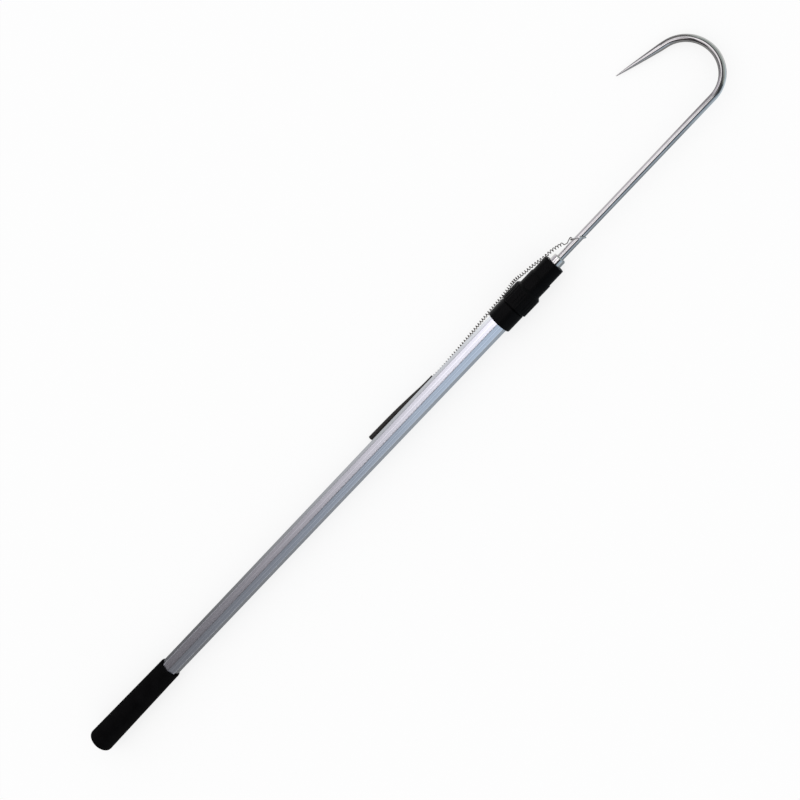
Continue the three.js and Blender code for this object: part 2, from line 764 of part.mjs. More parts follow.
// Least gap of the spring to itself, between places more than half a turn apart along the wire
function leastSpringGap(points) {
  let least = Infinity;
  const apart = stepsPerCurl / 2 + 2;
  const turnsCompared = 3;
  for (let i = 0; i < points.length; i += 1) {
    for (let j = i + apart; j < Math.min(points.length, i + turnsCompared * stepsPerCurl); j += 1) {
      least = Math.min(least, points[i].distanceTo(points[j]));
    }
  }
  return least - 2 * springWire;
}

function makeGuardSpring() {
  console.log(`guard_spring: least gap to itself ${leastSpringGap(springPath.points).toFixed(2)} mm`);
  const radii = springPath.points.map(() => springWire);
  return sweep(springPath.points, radii, springSides, new THREE.Vector3(0, 0, 1));
}

// Spring hook: a wire leg from the spring's end, then a loop round the eye's ear
function makeSpringHook() {
  const end = springPath.points[0];
  const direction = springPath.startDirection;
  const legStart = end.clone().addScaledVector(direction, fitGap);
  const points = [legStart, legStart.clone().addScaledVector(direction, 2 * springWire)];
  const hinge = new THREE.Vector3(earX, earRadius, 0);
  const loopSteps = 14;
  const curvePoints = [points[1]];
  for (let step = 0; step <= loopSteps; step += 1) {
    const angle = degrees(loopStartDegrees - loopTurnDegrees * step / loopSteps);
    curvePoints.push(new THREE.Vector3(hinge.x + loopRadius * Math.cos(angle),
      hinge.y + loopRadius * Math.sin(angle), 0));
  }
  const curve = new THREE.CatmullRomCurve3(curvePoints, false, 'centripetal');
  const steps = 26;
  for (let step = 1; step <= steps; step += 1) points.push(curve.getPointAt(step / steps));
  return sweep(points, points.map(() => springWire), 6, new THREE.Vector3(0, 0, 1));
}

// Guard tube: a soft tube on the same line, open at both ends, with a plug that the spring ends on

function sweptAlongRoute(radius, start, end, sides) {
  const steps = Math.max(2, Math.round((end - start) / guardStep));
  const frames = [];
  for (let step = 0; step <= steps; step += 1) frames.push(routePoint(start + (end - start) * step / steps));
  return toSolid(sweep(frames, frames.map(() => radius), sides, new THREE.Vector3(0, 0, 1)));
}

const plugStart = springLength + fitGap;

function makeGuardTube() {
  const outside = sweptAlongRoute(guardRadius, guardTubeStart, routeLength, 16);
  const first = routePoint(guardTubeStart);
  const last = routePoint(routeLength);
  const before = route.getTangentAt(guardTubeStart / routeLength);
  const after = route.getTangentAt(1);
  const steps = Math.round(guardTubeLength / guardStep);
  const centres = [first.clone().addScaledVector(before, -cutOverrun)];
  for (let step = 0; step <= steps; step += 1) {
    centres.push(routePoint(guardTubeStart + guardTubeLength * step / steps));
  }
  centres.push(last.clone().addScaledVector(after, cutOverrun));
  const bore = toSolid(sweep(centres, centres.map(() => guardBore), 16, new THREE.Vector3(0, 0, 1)));
  return toGeometry(outside.subtract(bore));
}

function makeGuardPlug() {
  return toGeometry(sweptAlongRoute(guardBore - fitGap, plugStart, plugStart + guardPlugLength, 16));
}

// The assembly
addPiece('outer_tube', makeOuterTube(), 'aluminium');
addPiece('butt_boot', makeButtBoot(), 'rubber');
addPiece('butt_plug', makeButtPlug(), 'greyPlastic');
addPiece('lock_sleeve', makeLockSleeve(), 'blackPlastic');
screwLines().forEach((line, i) => addPiece(`sleeve_screw_${i + 1}`, makeSleeveScrew(line), 'blackSteel'));
addPiece('collet', makeCollet(), 'greyPlastic');
addPiece('slip_washer', makeSlipWasher(), 'greyPlastic');
addPiece('lock_nut', makeLockNut(), 'blackPlastic');

const extension = new THREE.Group();
gaff.add(extension);
addPiece('inner_tube', makeInnerTube(), 'innerAluminium', extension);
addPiece('slide_bush', makeSlideBush(), 'greyPlastic', extension);
rivetLines().forEach((line) => addPiece(line.name, makeRivet(line), 'innerAluminium', extension));
addPiece('hook_ferrule', makeHookFerrule(), 'stainless', extension);
addPiece('hook_pin', makeHookPin(), 'stainless', extension);
addPiece('tube_end_ring', makeTubeEndRing(), 'blackPlastic', extension);
addPiece('gaff_hook', makeGaffHook(), 'stainless', extension);
addPiece('guard_eye', makeGuardEye(), 'stainless', extension);
addPiece('spring_hook', makeSpringHook(), 'springSteel', extension);
addPiece('guard_spring', makeGuardSpring(), 'springSteel', extension);
addPiece('guard_tube', makeGuardTube(), 'softVinyl', extension);
addPiece('guard_plug', makeGuardPlug(), 'greyPlastic', extension);

export default gaff;
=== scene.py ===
# %% [markdown]
# A fishing gaff is a hook on a pole, used to lift a fish over the side of a boat. This one telescopes:
# a thin eight-sided tube slides in a thick one, a screwed collar locks them, and a soft tube on a long
# spring covers the hook's point when the gaff is put away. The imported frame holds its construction.
# This lesson gives that construction its looks, one piece and one finish at a time.

# %% Load the frame
import math

import bmesh
import bpy
import numpy as np
from mathutils import Matrix, Vector


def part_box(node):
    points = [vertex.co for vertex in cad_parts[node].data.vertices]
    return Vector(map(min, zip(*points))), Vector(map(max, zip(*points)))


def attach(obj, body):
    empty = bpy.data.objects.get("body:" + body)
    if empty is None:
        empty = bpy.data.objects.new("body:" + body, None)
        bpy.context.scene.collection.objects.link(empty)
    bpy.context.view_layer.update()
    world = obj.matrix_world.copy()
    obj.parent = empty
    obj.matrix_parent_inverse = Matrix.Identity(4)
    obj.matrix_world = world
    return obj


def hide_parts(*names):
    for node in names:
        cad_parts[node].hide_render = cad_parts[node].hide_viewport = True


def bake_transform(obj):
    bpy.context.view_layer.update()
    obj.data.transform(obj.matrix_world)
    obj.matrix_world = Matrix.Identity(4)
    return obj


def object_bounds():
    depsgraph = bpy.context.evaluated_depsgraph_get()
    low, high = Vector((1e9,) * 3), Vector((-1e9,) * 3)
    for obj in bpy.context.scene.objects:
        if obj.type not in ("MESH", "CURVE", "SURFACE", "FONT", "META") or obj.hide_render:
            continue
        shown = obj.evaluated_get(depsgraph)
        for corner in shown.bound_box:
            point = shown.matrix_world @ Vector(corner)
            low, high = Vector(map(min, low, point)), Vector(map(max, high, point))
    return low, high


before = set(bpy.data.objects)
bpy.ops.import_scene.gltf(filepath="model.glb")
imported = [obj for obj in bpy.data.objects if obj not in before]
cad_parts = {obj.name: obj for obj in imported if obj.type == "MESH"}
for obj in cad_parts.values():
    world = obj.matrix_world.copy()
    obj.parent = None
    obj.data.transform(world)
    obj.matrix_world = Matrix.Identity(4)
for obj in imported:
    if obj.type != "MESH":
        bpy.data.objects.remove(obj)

mm = 0.001
scene = bpy.context.scene
cad_low, cad_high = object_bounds()
print("construction box in mm:", [round(side / mm, 1) for side in cad_high - cad_low])

# %% [markdown]
# The photograph looks down on the gaff from beyond the hook's side, and the pole crosses the picture from
# the lower left to the upper right. A camera can be aimed with a constraint, or its matrix can be built
# from the three directions that matter. The matrix is chosen, because the picture is also rolled: the
# pole lies at a slant in it.

# %% Camera
lens_mm = 54
view_target = Vector((575.43, 20.40, 0)) * mm
view_distance = 1329.5 * mm
lean_to_hook = math.radians(15.03)
lean_from_point = math.radians(12.8)
picture_roll = math.radians(46.66)

to_camera = Vector((math.sin(lean_to_hook),
                    -math.sin(lean_from_point) * math.cos(lean_to_hook),
                    math.cos(lean_from_point) * math.cos(lean_to_hook)))
pole_in_view = (Vector((1, 0, 0)) - to_camera * to_camera.x).normalized()
side_in_view = to_camera.cross(pole_in_view)
picture_right = pole_in_view * math.cos(picture_roll) - side_in_view * math.sin(picture_roll)
picture_up = pole_in_view * math.sin(picture_roll) + side_in_view * math.cos(picture_roll)

camera = bpy.data.objects.new("photo_camera", bpy.data.cameras.new("photo_camera"))
camera.data.lens = lens_mm
turned_view = Matrix((picture_right, picture_up, to_camera)).transposed().to_4x4()
camera.matrix_world = Matrix.Translation(view_target + to_camera * view_distance) @ turned_view
scene.collection.objects.link(camera)
scene.camera = camera
scene.view_settings.view_transform = "Standard"
print("camera at", [round(value, 3) for value in camera.matrix_world.translation])

# %% [markdown]
# A finish is a tree of shader nodes, and most of such a tree is arithmetic. Written node by node it is
# hard to read, so a small class wraps a socket and lets Python's own operators add the Math nodes. Only
# numbers are reckoned with, and a ramp turns the last of them into a colour.


# %% Shader sockets that Python can reckon with
class Ink:
    """A socket in a node tree. Sums and products on it add the nodes that work them out."""

    def __init__(self, tree, socket=None):
        self.tree = tree
        self.socket = socket

    def node(self, kind, settings=None, sockets=None, output=0):
        """Adds a node: its settings first, then the values or links of its sockets."""
        made = self.tree.nodes.new(kind)
        for name, value in (settings or {}).items():
            if name == "stops":
                ramp = made.color_ramp
                while len(ramp.elements) < len(value):
                    ramp.elements.new(1.0)
                for element, (place, colour) in zip(ramp.elements, value):
                    element.position = place
                    element.color = colour
            else:
                setattr(made, name, value)
        for name, value in (sockets or {}).items():
            if isinstance(value, Ink):
                self.tree.links.new(value.socket, made.inputs[name])
            else:
                made.inputs[name].default_value = value
        return Ink(self.tree, made.outputs[output] if made.outputs else None)

    def reckon(self, operation, first, second):
        """Adds a Math node for two numbers, each of them a socket or a plain number."""
        return self.node("ShaderNodeMath", {"operation": operation}, {0: first, 1: second})

    def __add__(self, other):
        return self.reckon("ADD", self, other)

    def __radd__(self, other):
        return self.reckon("ADD", other, self)

    def __sub__(self, other):
        return self.reckon("SUBTRACT", self, other)

    def __rsub__(self, other):
        return self.reckon("SUBTRACT", other, self)

    def __mul__(self, other):
        return self.reckon("MULTIPLY", self, other)

    def between(self, low, high):
        """0 where the value is low, 1 where it is high, and a smooth step between them."""
        settings = {"interpolation_type": "SMOOTHSTEP"}
        return self.node("ShaderNodeMapRange", settings,
                         {"Value": self, "From Min": low, "From Max": high})

    def tint(self, dark, light):
        """A colour that goes from dark to light as the value goes from 0 to 1."""
        stops = [(0.0, (*dark, 1.0)), (1.0, (*light, 1.0))]
        return self.node("ShaderNodeValToRGB", {"stops": stops}, {"Fac": self})

    def noise(self, scales, detail=4.0, roughness=0.55):
        """Cloudy noise over a place, with so many cells to the metre along each direction."""
        stretched = self.node("ShaderNodeMapping", None, {"Vector": self, "Scale": scales})
        return self.node("ShaderNodeTexNoise", None,
                         {"Vector": stretched, "Scale": 1.0, "Detail": detail, "Roughness": roughness})


def new_finish(name):
    """An empty material and the Ink that fills it."""
    material = bpy.data.materials.new(name)
    material.use_nodes = True
    material.node_tree.nodes.clear()
    return material, Ink(material.node_tree)


def surface(ink, shader):
    ink.node("ShaderNodeOutputMaterial", None, {"Surface": shader})


print("shader helpers are ready")

# %% [markdown]
# The gaff lies on a plain white floor, as a product does on a photographer's table. A pure white floor
# could be had with very bright lamps, but they would bleach the pole. Instead the floor glows a little by
# itself for the camera and for mirrors, and the rest of it is ordinary matt white that takes the shadow.

# %% Floor and world
floor_level = cad_low.z - 0.05 * mm
floor_half_size = 30.0
floor_glow_share = 0.78
floor_white = (0.93, 0.93, 0.935, 1.0)
world_fill = 1.0


def seen_or_mirrored(ink):
    """1 for what the camera sees, straight or by way of a mirror or glass, and 0 for other light."""
    rays = ink.node("ShaderNodeLightPath")
    outputs = {socket.name: Ink(ink.tree, socket) for socket in rays.socket.node.outputs}
    total = outputs["Is Camera Ray"] + outputs["Is Glossy Ray"] + outputs["Is Transmission Ray"]
    return ink.reckon("MINIMUM", total, 1.0)


floor_finish, ink = new_finish("floor_white")
matt = ink.node("ShaderNodeBsdfDiffuse", None, {"Color": floor_white})
glow = ink.node("ShaderNodeEmission", None, {"Color": (1, 1, 1, 1), "Strength": 1.0})
surface(ink, ink.node("ShaderNodeMixShader", None,
                      {0: seen_or_mirrored(ink) * floor_glow_share, 1: matt, 2: glow}))

floor_mesh = bpy.data.meshes.new("floor")
floor_corners = [(x * floor_half_size, y * floor_half_size, floor_level)
                 for x, y in ((-1, -1), (1, -1), (1, 1), (-1, 1))]
floor_mesh.from_pydata(floor_corners, [], [(0, 1, 2, 3)])
floor_mesh.materials.append(floor_finish)
floor = bpy.data.objects.new("floor", floor_mesh)
scene.collection.objects.link(floor)

world = bpy.data.worlds.new("white_room")
scene.world = world
world.use_nodes = True
world.node_tree.nodes.clear()
ink = Ink(world.node_tree)
backdrop = ink.node("ShaderNodeBackground", None, {"Color": (1, 1, 1, 1), "Strength": world_fill})
ink.node("ShaderNodeOutputWorld", None, {"Surface": backdrop})
print("floor at", round(floor_level / mm, 2), "mm")

# %% [markdown]
# Polished metal shows what stands around it. In the photograph the pole goes from near white at its lock
# to grey at its butt, and the steel hook has a white band, a dark line and a grey band. So the studio has
# long cards over the pole and beside it: bright on the side of the hook's point, dark over the camera,
# bluish grey on the other side, and grey mats on the floor. They fade towards the butt. Only mirrors see
# them, so the plain light of the room still falls evenly on the rest.

# %% Sheets that glow in mirrors
card_height = 1.5
card_start, card_end = -2.6, 2.6


def fading_card(name, corners, stops, tint=(1.0, 1.0, 1.0), end_tint=None):
    """A glowing sheet: its brightness at stations in metres, and one tint, or one for each end."""
    finish, ink = new_finish(name)
    in_frame = ink.node("ShaderNodeTexCoord", output="Object")
    station = ink.node("ShaderNodeSeparateXYZ", None, {0: in_frame})
    start, end = stops[0][0], stops[-1][0]
    share = ink.node("ShaderNodeMapRange", None, {"Value": station, "From Min": start, "From Max": end})
    brightest = max(level for _, level in stops)
    coloured = []
    for place, level in stops:
        way = (place - start) / (end - start)
        mixed = [first + (last - first) * way for first, last in zip(tint, end_tint or tint)]
        coloured.append((way, (*(level / brightest * part for part in mixed), 1.0)))
    ramp = ink.node("ShaderNodeValToRGB", {"stops": coloured}, {"Fac": share})
    surface(ink, ink.node("ShaderNodeEmission", None, {"Color": ramp, "Strength": brightest}))
    mesh = bpy.data.meshes.new(name)
    mesh.from_pydata(corners, [], [(0, 1, 2, 3)])
    mesh.materials.append(finish)
    card = bpy.data.objects.new(name, mesh)
    card.visible_camera = card.visible_diffuse = card.visible_shadow = False
    scene.collection.objects.link(card)
    print(f"{name}: brightest {brightest}")


def level_sheet(height, near_side, far_side, end=card_end):
    """Corners of a level sheet over or under the pole, between two distances to its side."""
    return [(card_start, near_side, height), (end, near_side, height),
            (end, far_side, height), (card_start, far_side, height)]


def standing_sheet(side, bottom, top):
    """Corners of a standing sheet beside the pole."""
    return [(card_start, side, bottom), (card_end, side, bottom),
            (card_end, side, top), (card_start, side, top)]


def end_sheet(station, half_width, bottom, top):
    """Corners of a standing sheet across the pole's line, beyond one of its ends."""
    return [(station, -half_width, bottom), (station, half_width, bottom),
            (station, half_width, top), (station, -half_width, top)]


print("the cards reach from", card_start, "to", card_end, "m")

# %% [markdown]
# How bright a card has to be can hardly be worked out, because each flat and bend mirrors another part of
# it. The levels were found by trial, with small renders held beside the photograph. Each list goes along
# the pole, in metres from the butt.

# %% Brightness along the cards
bright_stops = [(-1.6, 0.08), (-1.0, 0.13), (-0.80, 0.20), (-0.59, 0.34), (-0.31, 0.59), (-0.11, 0.87),
                (0.11, 1.28), (0.43, 1.72), (0.60, 2.0), (1.10, 2.3), (1.22, 0.40), (1.5, 0.10),
                (1.8, 0.12), (2.6, 0.7)]
dark_stops = [(-1.6, 0.05), (1.6, 0.06)]
fill_stops = [(-1.5, 0.17), (-0.97, 0.26), (-0.70, 0.33), (-0.40, 0.43), (-0.19, 0.55), (0.05, 0.75),
              (0.35, 1.02), (0.55, 0.80), (1.2, 0.70), (1.7, 0.15)]
point_mat_stops = [(0.10, 0.16), (0.18, 0.19), (0.27, 0.30), (0.39, 0.50), (0.475, 0.62), (0.57, 0.78),
                   (0.66, 0.95), (0.72, 1.40), (0.80, 1.20), (0.94, 1.10), (1.00, 0.45), (1.06, 0.40),
                   (1.09, 1.3)]
other_mat_stops = [(0.10, 0.22), (0.18, 0.24), (0.27, 0.29), (0.39, 0.36), (0.475, 0.42), (0.57, 0.46),
                   (0.69, 0.50), (0.80, 0.45), (0.98, 0.50), (1.05, 1.2)]
wall_stops = [(-2.6, 0.20), (0.20, 0.34), (0.52, 0.94), (0.80, 1.05), (1.03, 1.30), (1.15, 0.7),
              (1.35, 0.2), (2.6, 0.1)]
dim_stops = [(-3.0, 0.07), (3.0, 0.07)]
hook_end_stops = [(-3.0, 0.75), (3.0, 0.75)]
narrow_stops = [(-3.0, 0.07), (0.55, 0.07), (0.65, 0.55), (1.05, 0.45), (1.20, 0.07), (3.0, 0.07)]
print("stations along the bright card:", len(bright_stops))

# %% [markdown]
# The bright and the dark card meet beside the pole, on the side away from the hook's point. Two strips
# hang just under the bright one and darken a part of it, and two mats lie just over the floor. The tints
# give the metal the photograph's slightly warm and cold greys.

# %% Cards in place
strip_height = card_height - 0.02
mat_level = floor_level + 0.02 * mm
bright_side, cards_meet, dark_side = 1.45, -0.44, -1.60
wall_side, mat_reach = 1.9, 0.30
end_half_width, end_top = 2.0, 2.4
fading_card("bright_card", level_sheet(card_height, cards_meet, bright_side), bright_stops,
            (1.10, 0.98, 1.04), (0.97, 1.0, 1.03))
fading_card("strip_card", level_sheet(strip_height, 0.15, 0.60, 0.60), dim_stops)
fading_card("narrow_strip_card", level_sheet(strip_height, 0.30, 0.50), narrow_stops, (0.9, 0.85, 1.05))
fading_card("dark_card", level_sheet(card_height, dark_side, cards_meet), dark_stops)
fading_card("fill_card", standing_sheet(dark_side, 0.15, card_height), fill_stops,
            (1.06, 1.0, 1.02), (0.72, 1.0, 1.28))
fading_card("point_side_wall", standing_sheet(wall_side, 0.0, card_height), wall_stops, (0.95, 0.88, 1.0))
fading_card("point_side_mat", level_sheet(mat_level, 0.0, mat_reach), point_mat_stops)
fading_card("other_side_mat", level_sheet(mat_level, -mat_reach, 0.0), other_mat_stops,
            (1.0, 1.0, 1.0), (0.86, 1.0, 1.12))
fading_card("hook_end_card", end_sheet(card_end, end_half_width, 0.0, end_top), hook_end_stops,
            (0.88, 1.0, 0.96))
fading_card("butt_end_card", end_sheet(card_start, end_half_width, 0.0, end_top), dim_stops,
            (1.0, 0.85, 1.1))

# %% [markdown]
# Nearly all the pieces are skins over rings: a turned piece has rings round the pole, and a bent rod or
# wire has rings along its own line. Blender has a screw modifier and bevelled curves for these, but rings
# of points in Python are exact and keep a record of where each point lies on the straight stock before it
# was bent. That record, kept on the mesh as "lay", lets drawn lines run round a bend with the metal.

# %% Outlines round the pole
tube_roll = math.radians(102)
outline_corner_steps = 6
outline_flat_steps = 4


def octagon(across_flats, corner):
    """Points of an eight-sided outline with rounded corners, as sideways and upwards distances."""
    reach = (across_flats / 2 - corner) / math.cos(math.pi / 8)
    arcs = []
    for side in range(8):
        middle = tube_roll + side * math.pi / 4
        turns = middle + np.linspace(-math.pi / 8, math.pi / 8, outline_corner_steps + 1)
        centre = reach * np.array([math.cos(middle), math.sin(middle)])
        arcs.append(centre + corner * np.column_stack([np.cos(turns), np.sin(turns)]))
    points = []
    for side, arc in enumerate(arcs):
        after = arcs[(side + 1) % 8][0]
        steps = np.linspace(0, 1, outline_flat_steps + 1)[1:-1, None]
        points.extend([arc, arc[-1] + (after - arc[-1]) * steps])
    return np.vstack(points)


outline_directions = octagon(2.0, 0.12)
outline_directions /= np.linalg.norm(outline_directions, axis=1)[:, None]


def circle(radius, count=None):
    """Points of a round outline: as many as asked, or in step with those of an octagon."""
    if count is None:
        return radius * outline_directions
    angles = np.linspace(0, 2 * math.pi, count, endpoint=False)
    return radius * np.column_stack([np.cos(angles), np.sin(angles)])


print("points round an octagon:", len(outline_directions))

# %% [markdown]
# No moulded or turned edge is quite sharp, and a rounded one catches a thin line of light. A bevel
# modifier could round the edges afterwards, but a few points of an arc in the profile itself give each
# edge its own size.

# %% Rounded corners of a turned profile
corner_steps = 6


def rounded(station, radius, size, start, stop):
    """Stations and radii of a corner's arc about a centre, from one direction to another in degrees."""
    turns = np.radians(np.linspace(start, stop, corner_steps + 1))
    return list(zip(station + size * np.cos(turns), radius + size * np.sin(turns)))


def ring(station, outline):
    """An outline placed at a station of the pole."""
    return np.column_stack([np.full(len(outline), station), outline])


def turned(profile, count=None):
    """Round rings at the stations and radii of a profile."""
    return [ring(station, circle(radius, count)) for station, radius in profile]


print("arc points in a corner:", len(rounded(0, 1, 1, 180, 90)))

# %% [markdown]
# Rows of four-sided faces join each ring to the next. The faces are smooth-shaded, and the edges where
# they meet at a wide angle are marked sharp, so a bevel reads as a bevel and a tube as round.

# %% Skin rings into a piece
sharp_edge = math.radians(32)


def skin(rings, hollow=False):
    """Faces over a list of rings. A hollow skin closes on its first ring, and another gets two ends."""
    count = len(rings[0])
    faces = []
    for number in range(len(rings) if hollow else len(rings) - 1):
        here, there = number * count, (number + 1) % len(rings) * count
        for side in range(count):
            after = (side + 1) % count
            faces.append((here + side, here + after, there + after, there + side))
    if not hollow:
        last = (len(rings) - 1) * count
        faces.append(tuple(range(count - 1, -1, -1)))
        faces.append(tuple(range(last, last + count)))
    return faces


def add_piece(name, rings, finish, nodes, hollow=False, lay=None):
    """Makes a piece from its rings, and hides the CAD nodes it stands for."""
    mesh = bpy.data.meshes.new(name)
    mesh.from_pydata(np.vstack(rings).tolist(), [], skin(rings, hollow))
    shape = bmesh.new()
    shape.from_mesh(mesh)
    bmesh.ops.recalc_face_normals(shape, faces=shape.faces)
    shape.to_mesh(mesh)
    shape.free()
    mesh.shade_smooth()
    mesh.set_sharp_from_angle(angle=sharp_edge)
    record = mesh.attributes.new("lay", "FLOAT_VECTOR", "POINT")
    record.data.foreach_set("vector", np.vstack(rings if lay is None else lay).astype(np.float32).ravel())
    mesh.materials.append(finish)
    piece = bpy.data.objects.new(name, mesh)
    scene.collection.objects.link(piece)
    if nodes:
        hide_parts(*nodes)
    print(f"{name}: {len(mesh.vertices)} points, {len(mesh.polygons)} faces")
    return piece


# %% [markdown]
# A bent piece needs two side directions at every point of its line, and these mustn't twist. Carrying the
# first side direction along, and taking out of it at each step what lies along the line, does that.

# %% Rings along a bent line


def carried_frames(line, first_side):
    """Centres, two side directions and distances along a line of points."""
    line = np.asarray(line, float)
    heading = np.gradient(line, axis=0)
    heading /= np.linalg.norm(heading, axis=1)[:, None]
    distances = np.concatenate([[0], np.cumsum(np.linalg.norm(np.diff(line, axis=0), axis=1))])
    side = np.asarray(first_side, float)
    frames = []
    for centre, ahead, distance in zip(line, heading, distances):
        side = side - ahead * side.dot(ahead)
        side /= np.linalg.norm(side)
        frames.append((centre, side, np.cross(ahead, side), distance))
    return frames


def wire_rings(frames, radii, count):
    """Rings of a round rod or wire, and the place of their points on the straight stock."""
    angles = np.linspace(0, 2 * math.pi, count, endpoint=False)
    rings, lay = [], []
    for (centre, side, across, distance), radius in zip(frames, radii):
        turned_round = np.outer(np.cos(angles), side) + np.outer(np.sin(angles), across)
        rings.append(centre + radius * turned_round)
        lay.append(ring(distance, radius * np.column_stack([np.cos(angles), np.sin(angles)])))
    return rings, lay


print("bent-line helpers are ready")

# %% [markdown]
# The pole's tubes are drawn aluminium, lightly anodised. Drawing leaves very fine lines along the tube and
# a die line down the middle of each flat. The die line is a little smoother, and its lighter colour is a
# painted highlight. The corners are rubbed a little brighter. The lines come from noise stretched along
# the pole, and they tilt the surface as well as tint it, so that they catch the light.

# %% Drawn aluminium


def place_on_stock(ink, unrolled=True):
    """Where a point lies on its straight stock, or in the frame for a piece that has no such record."""
    if unrolled:
        return ink.node("ShaderNodeAttribute", {"attribute_name": "lay"}, output="Vector")
    return ink.node("ShaderNodeTexCoord", output="Object")


def bumpy_surface(ink, height, depth, sockets):
    """A surface with these socket values, tilted by a pattern from 0 to 1 that goes this deep."""
    bump = ink.node("ShaderNodeBump", None, {"Height": height, "Distance": depth, "Strength": 1.0})
    surface(ink, ink.node("ShaderNodeBsdfPrincipled", None, {**sockets, "Normal": bump}))


def drawn_aluminium(name, dark, light, roughness, unrolled=True):
    """Aluminium with fine lines along it, a die line with a painted highlight down each flat, and rubbed
    corners.
    """
    finish, ink = new_finish(name)
    place = place_on_stock(ink, unrolled)
    fine_lines = place.noise((7, 5200, 5200), detail=3)
    broad_lines = place.noise((2.5, 900, 900), detail=4)
    clouds = place.noise((26, 60, 60), detail=3)
    sideways = place.node("ShaderNodeSeparateXYZ", None, {0: place}, output="Y")
    upwards = place.node("ShaderNodeSeparateXYZ", None, {0: place}, output="Z")
    around = ink.reckon("ARCTAN2", upwards, sideways)
    wave = ink.node("ShaderNodeMath", {"operation": "COSINE"}, {0: (around - tube_roll) * 8})
    # Down the middle of each flat: a die line that is a little smoother, and painted lighter as a painted
    # highlight.
    die_line_and_painted_highlight = (0 - wave).between(0.965, 0.995)
    rubbed_corner = wave.between(0.80, 1.0)
    shade = fine_lines * 0.45 + broad_lines * 0.40 + clouds * 0.15
    bright = shade + die_line_and_painted_highlight * 0.22 + rubbed_corner * 0.12
    colour = bright.between(0.30, 0.78).tint(dark, light)
    gloss = roughness + (1 - shade) * 0.10 - die_line_and_painted_highlight * 0.08 - rubbed_corner * 0.06
    bumpy_surface(ink, fine_lines * 0.6 + broad_lines * 0.4, 0.012 * mm,
                  {"Base Color": colour, "Metallic": 1.0, "Roughness": gloss})
    return finish


tube_finish = drawn_aluminium("drawn_aluminium", (0.50, 0.52, 0.56), (0.68, 0.70, 0.74), 0.20)
inner_tube_finish = drawn_aluminium("drawn_inner_aluminium", (0.46, 0.48, 0.51), (0.64, 0.66, 0.69), 0.22)
print("aluminium finishes:", tube_finish.name, inner_tube_finish.name)

# %% [markdown]
# The outer tube reaches from inside the boot to inside the lock's sleeve. It is the largest thing in the
# picture, and only two of its flats face the camera.

# %% Outer tube
outer_flats = 22 * mm
outer_wall = 1.0 * mm
tube_corner = 1.6 * mm
edge_break = 0.25 * mm
tube_steps = 40


def eight_sided_tube(node, flats, wall, corner):
    """Rings of a tube with broken edges: along the outside, then back through the bore."""
    start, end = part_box(node)[0].x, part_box(node)[1].x
    bore, bore_corner = flats - 2 * wall, corner - wall / 2
    slim = flats - 2 * edge_break
    stations = np.linspace(start + edge_break, end - edge_break, tube_steps)
    outside = [ring(start, octagon(slim, corner - edge_break)),
               *(ring(station, octagon(flats, corner)) for station in stations),
               ring(end, octagon(slim, corner - edge_break))]
    inside = [ring(end, octagon(bore, bore_corner)), ring(start, octagon(bore, bore_corner))]
    return outside + inside


pole_tube = add_piece("pole_tube", eight_sided_tube("outer_tube", outer_flats, outer_wall, tube_corner),
                      tube_finish, ["outer_tube"], hollow=True)
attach(pole_tube, "handle")

# %% [markdown]
# The inner tube shows only when the gaff is pulled out. Two pairs of rivets go through it, so it gets
# round holes for them, cut with a boolean modifier that is applied at once.

# %% Inner tube and its rivet holes
inner_flats = 18 * mm
inner_wall = 1.1 * mm
key_corner = tube_corner - outer_wall / 2
rivet_hole_radius = 1.75 * mm
cutter_length, cutter_offset, cutter_sides = 20 * mm, 5 * mm, 40


def cut_holes(piece, nodes, radius):
    """Cuts a round hole wherever one of the CAD pins goes through the piece, towards its own side."""
    cutters = []
    for node in nodes:
        low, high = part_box(node)
        middle = (low + high) / 2
        outward = Vector((0, middle.y, middle.z)).normalized()
        cutter_mesh = bpy.data.meshes.new("cutter")
        shape = bmesh.new()
        bmesh.ops.create_cone(shape, cap_ends=True, segments=cutter_sides, radius1=radius, radius2=radius,
                              depth=cutter_length)
        shape.to_mesh(cutter_mesh)
        shape.free()
        cutter = bpy.data.objects.new("cutter", cutter_mesh)
        to_pin = outward.to_track_quat("Z", "Y").to_matrix().to_4x4()
        cutter.matrix_world = Matrix.Translation(middle + outward * cutter_offset) @ to_pin
        scene.collection.objects.link(cutter)
        modifier = piece.modifiers.new("hole", "BOOLEAN")
        modifier.operation = "DIFFERENCE"
        modifier.object = cutter
        cutters.append(cutter)
    evaluated = piece.evaluated_get(bpy.context.evaluated_depsgraph_get())
    cut_mesh = bpy.data.meshes.new_from_object(evaluated)
    piece.modifiers.clear()
    cut_mesh.name = piece.name
    piece.data = cut_mesh
    cut_mesh.set_sharp_from_angle(angle=sharp_edge)
    for cutter in cutters:
        bpy.data.objects.remove(cutter)
    print(f"{piece.name}: {len(nodes)} holes, {len(cut_mesh.polygons)} faces")


extension_tube = add_piece("extension_tube",
                           eight_sided_tube("inner_tube", inner_flats, inner_wall, key_corner),
                           inner_tube_finish, ["inner_tube"], hollow=True)
cut_holes(extension_tube, ["bush_rivet_1", "bush_rivet_2", "ferrule_rivet_1", "ferrule_rivet_2"],
          rivet_hole_radius)
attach(extension_tube, "extension")

# %% [markdown]
# The boot is a thick black rubber cap pushed over the tube's end. Rubber from a blasted mould is dull and
# a little grainy, and dust settles in the grain.

# %% Moulded black rubber


def moulded(name, dark, light, roughness, grain, depth, gloss, unrolled=True):
    """A dull moulded finish: a grain to the metre, its depth, and how much it mirrors."""
    finish, ink = new_finish(name)
    place = place_on_stock(ink, unrolled)
    pebbles = place.noise((grain, grain, grain), detail=2, roughness=0.6)
    clouds = place.noise((70, 70, 70), detail=4)
    rubbed = place.noise((34, 240, 240), detail=3)
    colour = (pebbles * 0.5 + clouds * 0.5).between(0.30, 0.75).tint(dark, light)
    dullness = roughness + (clouds - 0.5) * 0.16 - rubbed.between(0.55, 0.75) * 0.10
    bumpy_surface(ink, pebbles, depth,
                  {"Base Color": colour, "Roughness": dullness, "Specular IOR Level": gloss})
    return finish


